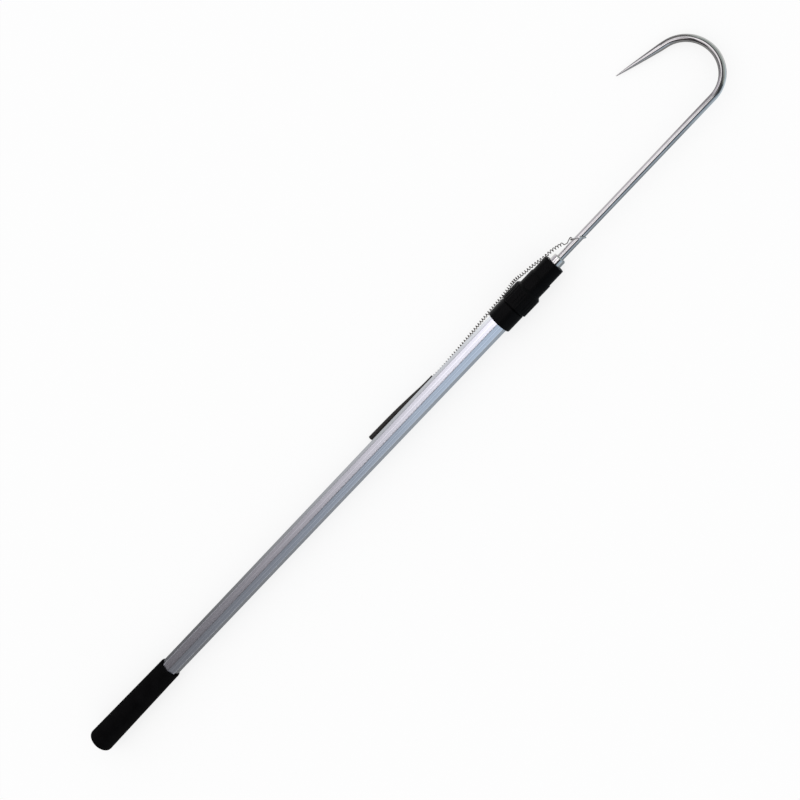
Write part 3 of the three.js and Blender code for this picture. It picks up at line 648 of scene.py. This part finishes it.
boot_finish = moulded("moulded_rubber", (0.0008, 0.0008, 0.0010), (0.0026, 0.0026, 0.0030), 0.62,
                      2600, 0.05 * mm, 0.05)
print("rubber finish:", boot_finish.name)

# %% [markdown]
# The boot is a slow cone with rounded edges, and its pocket is eight-sided, like the tube. A boolean
# could cut the pocket, but here the same skin turns over the rim and goes on inside.

# %% Butt boot
boot_start, boot_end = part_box("butt_boot")[0].x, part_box("butt_boot")[1].x
boot_butt_radius = 15.7 * mm
boot_mouth_radius = 13.6 * mm
boot_butt_corner = 2.6 * mm
boot_mouth_corner = 1.0 * mm
boot_end_wall = 6 * mm
sliding_gap = 0.3 * mm

boot_profile = [(boot_start, boot_butt_radius * 0.2), (boot_start, boot_butt_radius * 0.5)]
boot_profile += rounded(boot_start + boot_butt_corner, boot_butt_radius - boot_butt_corner,
                        boot_butt_corner, 180, 90)
boot_side_shares = np.linspace(0, 1, 26)[1:-1]
boot_profile += [(boot_start + boot_butt_corner + (boot_end - boot_start - boot_butt_corner
                                                   - boot_mouth_corner) * share,
                  boot_butt_radius + (boot_mouth_radius - boot_butt_radius) * share)
                 for share in boot_side_shares]
boot_profile += rounded(boot_end - boot_mouth_corner, boot_mouth_radius - boot_mouth_corner,
                        boot_mouth_corner, 90, 0)
pocket = outer_flats + 2 * sliding_gap
boot_rings = turned(boot_profile)
boot_rings += [ring(boot_end, octagon(pocket + boot_mouth_corner, tube_corner)),
               ring(boot_end - boot_mouth_corner / 2, octagon(pocket, tube_corner)),
               ring(boot_start + boot_end_wall, octagon(pocket, tube_corner)),
               ring(boot_start + boot_end_wall, octagon(pocket * 0.3, tube_corner * 0.3))]
grip_boot = add_piece("grip_boot", boot_rings, boot_finish, ["butt_boot"])
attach(grip_boot, "handle")

# %% [markdown]
# The lock is moulded in black nylon with a spark-eroded texture, finer and a little glossier than the
# rubber. Its sleeve is fixed to the outer tube with two grub screws, and carries the screw thread.

# %% Lock finish, the sleeve's sizes and the thread
lock_finish = moulded("textured_nylon", (0.0006, 0.0006, 0.0008), (0.0020, 0.0020, 0.0024), 0.46,
                      5200, 0.02 * mm, 0.05)
sleeve_start, spigot_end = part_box("lock_sleeve")[0].x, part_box("lock_sleeve")[1].x
sleeve_body_length = 22.5 * mm
sleeve_body_end = sleeve_start + sleeve_body_length
sleeve_radius = 14.65 * mm
sleeve_rear_corner = 1.6 * mm
sleeve_front_corner = 0.4 * mm
spigot_radius = 12.5 * mm
thread_pitch = 4 * mm
thread_depth = 0.7 * mm
thread_half_width = 0.65 * mm
thread_flank = 0.25 * mm
thread_turns = 2.5
thread_lead = 2.1 * mm
thread_start = sleeve_body_end + thread_lead
thread_phase = math.radians(4)
thread_step = 0.2 * mm
run_out_rate = 12        # the ridge fades in and out over a twelfth of a turn
screw_hole_radius = 2.3 * mm
key_flats = inner_flats + 2 * sliding_gap


def threaded(station, base_radius, outline, half_width, first_turn, last_turn):
    """A round outline at a station, swollen where the helical thread passes."""
    angles = np.arctan2(outline[:, 1], outline[:, 0]) - thread_phase
    turns = (station - thread_start) / thread_pitch - angles / (2 * math.pi)
    nearest = np.round(turns)
    from_middle = np.abs(turns - nearest) * thread_pitch
    height = np.clip((half_width - from_middle) / thread_flank, 0, 1)
    along_helix = nearest + angles / (2 * math.pi)
    ends = (np.clip((along_helix - first_turn) * run_out_rate, 0, 1)
            * np.clip((last_turn - along_helix) * run_out_rate, 0, 1))
    return ring(station, outline * (base_radius + thread_depth * height * ends)[:, None])


print("thread starts at", round(thread_start / mm, 1), "mm")

# %% [markdown]
# The sleeve is one skin too: a round body, the threaded spigot, and back through the inner tube's bore
# and the outer tube's socket. A screw modifier could wind the thread's ridge, but pushing the points out
# where the helix passes keeps the piece in one closed skin.

# %% Lock sleeve
sleeve_profile = rounded(sleeve_start + sleeve_rear_corner, sleeve_radius - sleeve_rear_corner,
                         sleeve_rear_corner, 180, 90)
sleeve_profile += rounded(sleeve_body_end - sleeve_front_corner, sleeve_radius - sleeve_front_corner,
                          sleeve_front_corner, 90, 0)
sleeve_profile += [(sleeve_body_end, spigot_radius)]
socket_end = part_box("outer_tube")[1].x + sliding_gap
spigot_stations = np.arange(sleeve_body_end + thread_step, spigot_end - thread_step / 2, thread_step)
sleeve_rings = turned(sleeve_profile)
sleeve_rings += [threaded(station, spigot_radius, outline_directions, thread_half_width, 0, thread_turns)
                 for station in spigot_stations]
sleeve_rings += [ring(spigot_end, circle(spigot_radius - sleeve_front_corner)),
                 ring(spigot_end, octagon(key_flats, key_corner)),
                 ring(socket_end, octagon(key_flats, key_corner)),
                 ring(socket_end, octagon(pocket, tube_corner)),
                 ring(sleeve_start + sleeve_front_corner, octagon(pocket, tube_corner)),
                 ring(sleeve_start, octagon(pocket + 2 * sleeve_front_corner, tube_corner))]
lock_collar = add_piece("lock_collar", sleeve_rings, lock_finish, ["lock_sleeve"],
                        hollow=True)
cut_holes(lock_collar, ["sleeve_screw_1", "sleeve_screw_2"], screw_hole_radius)
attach(lock_collar, "handle")

# %% [markdown]
# The lock nut is one turned-looking moulding: a wide ring for the fingers, then two steps of a slim nose.
# The ring has shallow flutes for grip, which a black silhouette hides. Inside are the thread's groove,
# the cone that closes the collet, and the room of the washer.

# %% Lock nut
nut_start, nut_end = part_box("lock_nut")[0].x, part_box("lock_nut")[1].x
ring_radius = 16.1 * mm
ring_length = 22.8 * mm
ring_bevel = 2.1 * mm
ring_corner = 0.9 * mm
nose_radius = 13.25 * mm
nose_length = 18 * mm
tip_radius = 12.35 * mm
tip_corner = 0.9 * mm
flute_count = 24
flute_depth = 0.45 * mm
flute_steps = 24
flute_margin = 1.6 * ring_corner
nose_fillet = 0.35 * mm
small_ease, large_ease = 0.1 * mm, 0.2 * mm
nut_points = 240


def fluted(station, radius, share):
    """A round outline with shallow flutes, as deep as the share says."""
    outline = circle(1.0, nut_points)
    angles = np.arctan2(outline[:, 1], outline[:, 0])
    hollows = np.clip(np.cos(angles * flute_count), 0, 1) ** 1.5
    return ring(station, outline * (radius - flute_depth * share * hollows)[:, None])


ring_end = nut_start + ring_length
nose_start = ring_end + ring_bevel
tip_start = nose_start + nose_length
slope_start = tip_start - (nose_radius - tip_radius)
fluted_stations = np.linspace(nut_start + flute_margin, ring_end - flute_margin, flute_steps)
flute_shares = np.clip(np.sin(np.linspace(0, math.pi, flute_steps)) * 2.2, 0, 1)
nut_rings = turned(rounded(nut_start + ring_corner, ring_radius - ring_corner, ring_corner, 180, 90),
                   nut_points)
nut_rings += [fluted(station, ring_radius, share) for station, share in zip(fluted_stations, flute_shares)]
nose_profile = rounded(ring_end - ring_corner, ring_radius - ring_corner, ring_corner, 90, 40)
nose_profile += rounded(nose_start + nose_fillet, nose_radius + nose_fillet, nose_fillet, 220, 270)
nose_profile += [(slope_start - large_ease, nose_radius),
                 (slope_start + small_ease, nose_radius - 0.12 * mm),
                 (tip_start - small_ease, tip_radius + small_ease), (tip_start + large_ease, tip_radius)]
nose_profile += rounded(nut_end - tip_corner, tip_radius - tip_corner, tip_corner, 90, 0)
nut_rings += turned(nose_profile, nut_points)
print("nut rings outside:", len(nut_rings))

# %% [markdown]
# The nut's inside can't be seen in the photograph, but the lock can be opened, so it is made in full. The
# skin goes back from the tip, past the rooms of the washer and the collet, into the thread's groove.

# %% Inside of the lock nut
washer_start, washer_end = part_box("slip_washer")[0].x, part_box("slip_washer")[1].x
collet_start, collet_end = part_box("collet")[0].x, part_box("collet")[1].x
collet_flange = 3 * mm
cone_rear, cone_front = 12.1 * mm, 11.1 * mm
washer_room = 11.6 * mm
collet_room = 12.6 * mm
mouth_radius = inner_flats / 2 / math.cos(math.pi / 8) + sliding_gap
bore_break = 0.3 * mm
nut_lead_in = 3 * mm
lead_in_radius = spigot_radius + thread_depth + 2 * sliding_gap
bore_profile = [
    (nut_end, mouth_radius + bore_break), (nut_end - bore_break, mouth_radius),
    (washer_end + sliding_gap, mouth_radius), (washer_end + sliding_gap, washer_room),
    (washer_start - sliding_gap, washer_room), (washer_start - sliding_gap, cone_front),
    (collet_end + sliding_gap, cone_front), (collet_start + collet_flange + sliding_gap, cone_rear),
    (collet_start + collet_flange + sliding_gap, collet_room), (collet_start, collet_room),
]
nut_rings += turned(bore_profile, nut_points)
bore_radius = spigot_radius + sliding_gap
nut_directions = circle(1.0, nut_points)
nut_rings += [threaded(station, bore_radius, nut_directions, thread_half_width + sliding_gap, -2, 2.4)
              for station in np.arange(collet_start - 0.2 * mm, nut_start + nut_lead_in, -0.25 * mm)]
nut_rings += turned([(nut_start + nut_lead_in, lead_in_radius), (nut_start, lead_in_radius)], nut_points)
twist_nut = add_piece("twist_nut", nut_rings, lock_finish, ["lock_nut"], hollow=True)
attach(twist_nut, "nut")

# %% [markdown]
# The hook is one stainless rod, polished along its length, bent in a wide round bend and ground to a long
# point. Its finish is a mirror with very fine polishing lines that run with the rod, so it uses the
# record of the straight stock. The grinding of the point leaves a slightly rougher surface.

# %% Polished steel


def polished_steel(name, dark, light, roughness, lines, depth, unrolled=True):
    """Steel polished along or round a piece: the lines are cells to the metre in each direction."""
    finish, ink = new_finish(name)
    place = place_on_stock(ink, unrolled)
    fine_lines = place.noise(lines, detail=4)
    smears = place.noise((55, 420, 420), detail=3)
    clouds = place.noise((90, 90, 90), detail=2)
    colour = (fine_lines * 0.5 + clouds * 0.3 + smears * 0.2).between(0.32, 0.70).tint(dark, light)
    gloss = roughness + fine_lines * 0.06 + smears.between(0.52, 0.72) * 0.06
    bumpy_surface(ink, fine_lines, depth, {"Base Color": colour, "Metallic": 1.0, "Roughness": gloss})
    return finish


hook_finish = polished_steel("polished_steel", (0.36, 0.355, 0.35), (0.46, 0.455, 0.445), 0.09,
                             (9, 3800, 3800), 0.004 * mm)
print("steel finish:", hook_finish.name)

# %% [markdown]
# The hook's line is a straight shank, a bend that is part of an ellipse, and a straight leg that thins to
# the point. A bevelled curve could make it, but here every ring has its own radius. The bend is tilted
# until its leg lies on the floor beside the pole.

# %% Hook
rod_radius = 4 * mm
bend_reach = 34.7 * mm
bend_half_width = 39.6 * mm
bend_end = math.radians(75.4)
leg_length = 58.15 * mm
taper_share = 0.9
taper_power = 0.8
point_radius = 0.35 * mm
rod_points = 56
hook_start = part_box("gaff_hook")[0].x
bend_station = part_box("gaff_hook")[1].x - rod_radius - bend_reach
axis_height = -cad_low.z

shank = [(station, 0.0, rod_radius) for station in np.linspace(hook_start, bend_station, 60)]
bend_angles = np.linspace(-math.pi / 2, bend_end, 110)[1:]
bend = [(bend_station + bend_reach * math.cos(angle), bend_half_width * (1 + math.sin(angle)), rod_radius)
        for angle in bend_angles]
leg_heading = np.array([-bend_reach * math.sin(bend_end), bend_half_width * math.cos(bend_end)])
leg_heading /= np.linalg.norm(leg_heading)
leg_root = np.array(bend[-1][:2])
leg = []
for share in np.linspace(0, 1, 70)[1:]:
    left = min(1.0, (1 - share) / taper_share)
    radius = point_radius + (rod_radius - point_radius) * left ** taper_power
    leg.append((*(leg_root + leg_heading * leg_length * share), radius))
tip_station, tip_reach, _ = leg[-1]
for turn in (30, 60, 80):
    beyond = point_radius * math.sin(math.radians(turn))
    leg.append((tip_station + leg_heading[0] * beyond, tip_reach + leg_heading[1] * beyond,
                point_radius * math.cos(math.radians(turn))))
hook_line = shank + bend + leg
hook_tilt = min(math.asin((axis_height - radius) / reach)
                for _, reach, radius in hook_line if reach > bend_half_width)
hook_centres = [(station, reach * math.cos(hook_tilt), -reach * math.sin(hook_tilt))
                for station, reach, _ in hook_line]
hook_frames = carried_frames(hook_centres, (0, math.sin(hook_tilt), math.cos(hook_tilt)))
hook_rings, hook_lay = wire_rings(hook_frames, [radius for _, _, radius in hook_line], rod_points)
hook_rod = add_piece("hook_rod", hook_rings, hook_finish, ["gaff_hook"], lay=hook_lay)
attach(hook_rod, "extension")

# %% [markdown]
# The ferrule is a turned steel plug that holds the hook in the inner tube. Only its nose shows. A lathe
# leaves fine rings round it, so its noise is stretched round the axis instead of along it: the lines are
# close together along the pole and long across it.

# %% Ferrule
ferrule_finish = polished_steel("turned_steel", (0.44, 0.44, 0.43), (0.56, 0.56, 0.545), 0.13,
                                (6500, 25, 25), 0.004 * mm)
ferrule_start, ferrule_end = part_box("hook_ferrule")[0].x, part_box("hook_ferrule")[1].x
inner_tube_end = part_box("inner_tube")[1].x
plug_radius = 7.6 * mm
ferrule_radius = 7.3 * mm
ferrule_chamfer = 1.1 * mm
ferrule_bore = rod_radius + sliding_gap
plug_break = 0.4 * mm
ferrule_points = 120
ferrule_profile = [
    (ferrule_start, plug_radius - plug_break), (ferrule_start + plug_break, plug_radius),
    (inner_tube_end - sliding_gap, plug_radius), (inner_tube_end - sliding_gap, ferrule_radius)]
ferrule_profile += [(station, ferrule_radius) for station in
                    np.linspace(inner_tube_end, ferrule_end - ferrule_chamfer - small_ease, 6)]
ferrule_profile += [(ferrule_end - ferrule_chamfer + small_ease / 2, ferrule_radius - small_ease / 2),
                    (ferrule_end - small_ease, ferrule_radius - ferrule_chamfer + small_ease),
                    (ferrule_end, ferrule_radius - ferrule_chamfer - small_ease),
                    (ferrule_end, ferrule_bore + bore_break), (ferrule_end - bore_break, ferrule_bore),
                    (ferrule_start, ferrule_bore)]
ferrule_rings = turned(ferrule_profile, ferrule_points)
turned_ferrule = add_piece("turned_ferrule", ferrule_rings, ferrule_finish,
                           ["hook_ferrule"], hollow=True)
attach(turned_ferrule, "extension")

# %% [markdown]
# A ring of thin steel wire is wrapped slantwise round the shank, with a drop of solder, and pulled out
# into an ear on the side of the hook's point. The guard's spring hooks onto that ear. The ring is a
# closed line, so its sides are worked out from the pole's axis instead of being carried along.

# %% Guard eye
tinned_finish = polished_steel("tinned_wire", (0.52, 0.52, 0.515), (0.70, 0.70, 0.69), 0.34,
                               (900, 900, 900), 0.02 * mm, unrolled=False)
eye_wire = 0.6 * mm
eye_slant = 1.2
bead_radius = 1.5 * mm
bead_angle = math.radians(105)
ear_power = 6
spring_wire = 0.4 * mm
eye_hug = rod_radius + sliding_gap + eye_wire
loop_radius = eye_wire + sliding_gap + spring_wire
ear_radius = rod_radius + sliding_gap + spring_wire + loop_radius
eye_standoff = 36 * mm
eye_points = 120
eye_station = nut_end + eye_standoff
ear_station = eye_station - eye_slant * eye_hug

eye_angles = np.linspace(0, 2 * math.pi, eye_points, endpoint=False)
eye_ear = ((1 + np.cos(eye_angles)) / 2) ** ear_power
eye_radii = eye_hug + (ear_radius - eye_hug) * eye_ear
eye_centres = np.column_stack([eye_station - eye_slant * eye_hug * np.cos(eye_angles),
                               eye_radii * np.cos(eye_angles), eye_radii * np.sin(eye_angles)])
eye_frames = []
for number, centre in enumerate(eye_centres):
    ahead = eye_centres[(number + 1) % eye_points] - eye_centres[number - 1]
    ahead /= np.linalg.norm(ahead)
    outward = np.array([0, centre[1], centre[2]])
    outward -= ahead * outward.dot(ahead)
    outward /= np.linalg.norm(outward)
    eye_frames.append((centre, outward, np.cross(ahead, outward), eye_hug * eye_angles[number]))
eye_rings, eye_lay = wire_rings(eye_frames, [eye_wire] * eye_points, 20)
eye_ring = add_piece("eye_ring", eye_rings, tinned_finish, ["guard_eye"], hollow=True,
                     lay=eye_lay)
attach(eye_ring, "extension")

# %% [markdown]
# The drop is a ball, drawn out along the pole and flattened, and it never reaches into the rod. Metaballs
# could melt it into the wire, but at this size a plain ball reads the same.

# %% Solder drop on the eye
drop_stretch, drop_flatness = 1.6, 0.75
drop_seat = 0.1 * mm
drop_middle = np.array([eye_station - eye_slant * eye_hug * math.cos(bead_angle),
                        eye_hug * math.cos(bead_angle), eye_hug * math.sin(bead_angle)])
drop_across = np.array([0, -math.sin(bead_angle), math.cos(bead_angle)])
drop_out = np.array([0, math.cos(bead_angle), math.sin(bead_angle)])
drop_rings = []
for turn in np.radians(np.linspace(6, 174, 22)):
    circle_points = circle(bead_radius * math.sin(turn), 32)
    points = (drop_middle - np.array([drop_stretch, 0, 0]) * bead_radius * math.cos(turn)
              + np.outer(circle_points[:, 0], drop_across)
              + drop_flatness * np.outer(circle_points[:, 1], drop_out))
    reach = np.linalg.norm(points[:, 1:], axis=1)
    points[:, 1:] *= (np.maximum(reach, rod_radius + drop_seat) / reach)[:, None]
    drop_rings.append(points)
solder_drop = add_piece("solder_drop", drop_rings, tinned_finish, [])
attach(solder_drop, "extension")

# %% [markdown]
# The spring and the guard tube lie along one smooth line, from the ear over the lock and back beside the
# pole. The line goes through a few points, given as shares of the guard's reach and of the room beside
# the lock's ring. A centripetal Catmull-Rom curve passes through them without overshoot.

# %% The guard's line
guard_reach = 315.4 * mm
spring_radius = 1.9 * mm
guard_radius = 2.8 * mm
spring_lane = ring_radius + spring_radius + sliding_gap
guard_lane = ring_radius + guard_radius + sliding_gap
guard_level = guard_radius - axis_height
guard_side = math.sqrt(guard_lane ** 2 - guard_level ** 2)
lane_shares = [
    (0.020, 0.38, 14), (0.045, 0.60, 40), (0.070, 0.80, 50), (0.105, 0.89, 50), (0.150, 1.005, 45),
    (0.176, 1.025, 41), (0.197, 1.025, 34), (0.224, 1.02, 18), (0.250, 1.02, 1), (0.2995, 1.015, -14),
    (0.382, 1.012, -23), (0.455, 1.012, -30), (0.5115, 1.012, -35), (0.582, 1.02, -40)]
side_shares = [(0.634, 0.995), (0.666, 1.003), (0.714, 1.012), (0.787, 1.115), (0.869, 1.215), (1, 1.275)]
line_points = [(ear_station - guard_reach * behind, spring_lane * lane * math.cos(math.radians(angle)),
                spring_lane * lane * math.sin(math.radians(angle)))
               for behind, lane, angle in lane_shares]
line_points += [(ear_station - guard_reach * behind, guard_side * side, guard_level)
                for behind, side in side_shares]


def smooth_through(points, per_span=60):
    """A centripetal Catmull-Rom curve through the points, as a fine line."""
    points = np.array(points, float)
    control = np.vstack([2 * points[0] - points[1], points, 2 * points[-1] - points[-2]])
    line = []
    for a, b, c, d in zip(control, control[1:], control[2:], control[3:]):
        t1 = math.sqrt(np.linalg.norm(b - a))
        t2 = t1 + math.sqrt(np.linalg.norm(c - b))
        t3 = t2 + math.sqrt(np.linalg.norm(d - c))
        for t in np.linspace(t1, t2, per_span, endpoint=False):
            ab = a + (b - a) * t / t1
            bc = b + (c - b) * (t - t1) / (t2 - t1)
            cd = c + (d - c) * (t - t2) / (t3 - t2)
            abc = ab + (bc - ab) * t / t2
            bcd = bc + (cd - bc) * (t - t1) / (t3 - t1)
            line.append(abc + (bcd - abc) * (t - t1) / (t2 - t1))
    line.append(points[-1])
    return np.array(line)


guard_frames = carried_frames(smooth_through(line_points), (0, 0, 1))
guard_distances = np.array([distance for _, _, _, distance in guard_frames])
guard_length = guard_distances[-1]
guard_centres, guard_sides, guard_acrosses = (
    np.array([one[part] for one in guard_frames]) for part in range(3))


def on_guard_line(distances):
    """Centre and side directions of the guard's line at the given distances from its front end."""
    found = []
    for values in (guard_centres, guard_sides, guard_acrosses):
        found.append(np.column_stack([np.interp(distances, guard_distances, values[:, part])
                                      for part in range(3)]))
    return found


print("guard's line in mm:", round(guard_length / mm, 1))

# %% [markdown]
# The spring is one steel wire in 62 turns. Its mesh is a wire bent along a helix, with the helix itself
# bent along the guard's line. At both ends the wire leaves the coil and runs straight. The real spring
# stretches when the guard is pulled, but this mesh keeps its resting shape and is tied to no body.

# %% Spring wire finish and coil
spring_finish = polished_steel("drawn_wire", (0.045, 0.036, 0.029), (0.100, 0.082, 0.066), 0.22,
                               (60, 9000, 9000), 0.003 * mm)
curls = 62
curl_steps = 24
guard_tube_length = 102 * mm
spring_insertion = 8 * mm
full_wire = 0.46 * mm
coil_radius = spring_radius - spring_wire
spring_length = guard_length - guard_tube_length + spring_insertion
lead_length = 2.3 * coil_radius + 2 * spring_wire
coil_length = spring_length - 2 * lead_length
turn_rate = 2 * math.pi * curls / coil_length
lead_turn = math.pi / 2
ease_length = 2 * lead_turn / turn_rate


def coil_angle(distance):
    """How far round the coil the wire is: at an even rate, eased to a straight run at both ends."""
    into_coil = distance - lead_length
    past = into_coil - coil_length
    angle = np.clip(into_coil, 0, coil_length) * turn_rate
    before = np.clip(-into_coil / ease_length, 0, 1)
    after = np.clip(past / ease_length, 0, 1)
    return angle + lead_turn * (1 - (1 - after) ** 2) - lead_turn * (1 - (1 - before) ** 2)


coil_samples = np.linspace(0, spring_length, curls * curl_steps + 60)
centres, sides, acrosses = on_guard_line(coil_samples)
angles = coil_angle(coil_samples)[:, None]
coil_line = centres + coil_radius * (sides * np.cos(angles) + acrosses * np.sin(angles))
coil_frames = carried_frames(coil_line, (0, 0, 1))
coil_rings, coil_lay = wire_rings(coil_frames, [full_wire] * len(coil_line), 10)
guard_coil = add_piece("guard_coil", coil_rings, spring_finish, ["guard_spring"],
                       lay=coil_lay)
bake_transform(guard_coil)

# %% [markdown]
# The spring's front end is joined to a small wire hook that is closed round the ear. It turns there when
# the guard swings, so it is a piece of its own.

# %% Spring hook
link_heading = coil_line[0] - coil_line[1]
link_heading /= np.linalg.norm(link_heading)
leg_start = coil_line[0] + link_heading * sliding_gap
leg_end = leg_start + link_heading * 2 * spring_wire
loop_start, loop_sweep, loop_steps = 75, 238, 15
loop_angles = np.radians(loop_start - loop_sweep * np.linspace(0, 1, loop_steps))
loop_points = [(ear_station + loop_radius * math.cos(angle),
                ear_radius + loop_radius * math.sin(angle), 0) for angle in loop_angles]
link_line = np.vstack([leg_start, smooth_through([leg_end, *loop_points], 8)])
link_rings, link_lay = wire_rings(carried_frames(link_line, (0, 0, 1)), [full_wire] * len(link_line), 14)
guard_link = add_piece("guard_link", link_rings, spring_finish, ["spring_hook"],
                       lay=link_lay)
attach(guard_link, "spring_link")

# %% [markdown]
# The guard is a length of soft brown-black vinyl tube. Extruded vinyl is smooth, with faint lines along
# it, and a little waxy, so its roughness is lower than the rubber's. Its two ends are cut square, with
# the edges slightly rounded.

# %% Vinyl guard tube
vinyl_finish, ink = new_finish("soft_vinyl")
place = place_on_stock(ink)
draw_lines = place.noise((14, 1900, 1900), detail=3)
haze = place.noise((160, 260, 260), detail=4)
vinyl_colour = (draw_lines * 0.4 + haze * 0.6).between(0.32, 0.72).tint((0.0085, 0.0062, 0.0048),
                                                                     (0.021, 0.016, 0.0125))
bumpy_surface(ink, draw_lines, 0.015 * mm,
              {"Base Color": vinyl_colour, "Roughness": 0.30 + haze * 0.18, "Specular IOR Level": 0.35})

guard_bore = 2.25 * mm
lip = (guard_radius - guard_bore) / 2
guard_tube_start = guard_length - guard_tube_length
lip_turns = np.radians(np.linspace(180, 0, 9))
lip_profile = [(guard_tube_start + lip - lip * math.sin(turn), guard_bore + lip + lip * math.cos(turn))
               for turn in lip_turns]
outer_stations = np.linspace(guard_tube_start + lip, guard_length - lip, 60)[1:-1]
tube_profile = lip_profile + [(station, guard_radius) for station in outer_stations]
tube_profile += [(guard_length - lip + lip * math.sin(turn), guard_bore + lip + lip * math.cos(turn))
                 for turn in lip_turns[::-1]]
tube_profile += [(station, guard_bore) for station in outer_stations[::-1]]
centres, sides, acrosses = on_guard_line(np.array([station for station, _ in tube_profile]))
tube_frames = [(centre, side, across, station) for centre, side, across, (station, _)
               in zip(centres, sides, acrosses, tube_profile)]
tube_rings, tube_lay = wire_rings(tube_frames, [radius for _, radius in tube_profile], 40)
guard_sleeve = add_piece("guard_sleeve", tube_rings, vinyl_finish, ["guard_tube"],
                         hollow=True, lay=tube_lay)
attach(guard_sleeve, "guard")

# %% [markdown]
# The small and hidden pieces keep the shapes that the frame gives them: the collet, washer, bush, plugs,
# pins, rivets and screws. Each gets a finish that fits how it is made. These shapes have no record of
# straight stock, so their finishes use the frame's own places.

# %% Finishes of the carried-over pieces
inner_plastic = moulded("moulded_acetal", (0.030, 0.030, 0.032), (0.055, 0.055, 0.058), 0.42, 3200,
                        0.02 * mm, 0.4, unrolled=False)
end_ring_plastic = moulded("black_acetal", (0.0030, 0.0030, 0.0034), (0.0075, 0.0075, 0.0080), 0.40, 4200,
                           0.02 * mm, 0.25, unrolled=False)
rivet_aluminium = drawn_aluminium("rivet_aluminium", (0.42, 0.43, 0.45), (0.60, 0.61, 0.63), 0.30,
                                  unrolled=False)
pin_steel = polished_steel("pin_steel", (0.36, 0.355, 0.35), (0.46, 0.455, 0.445), 0.18,
                           (3800, 3800, 60), 0.004 * mm, unrolled=False)
black_oxide = polished_steel("black_oxide", (0.012, 0.012, 0.013), (0.030, 0.030, 0.032), 0.34,
                             (1500, 1500, 1500), 0.01 * mm, unrolled=False)
finish_of_node = {
    "butt_plug": inner_plastic, "collet": inner_plastic, "slip_washer": inner_plastic,
    "slide_bush": inner_plastic, "guard_plug": inner_plastic, "tube_end_ring": end_ring_plastic,
    "bush_rivet_1": rivet_aluminium, "bush_rivet_2": rivet_aluminium,
    "ferrule_rivet_1": rivet_aluminium, "ferrule_rivet_2": rivet_aluminium,
    "hook_pin": pin_steel, "sleeve_screw_1": black_oxide, "sleeve_screw_2": black_oxide}
for node_name, finish in finish_of_node.items():
    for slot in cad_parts[node_name].material_slots:
        slot.material = finish
print("carried-over pieces:", len(finish_of_node))
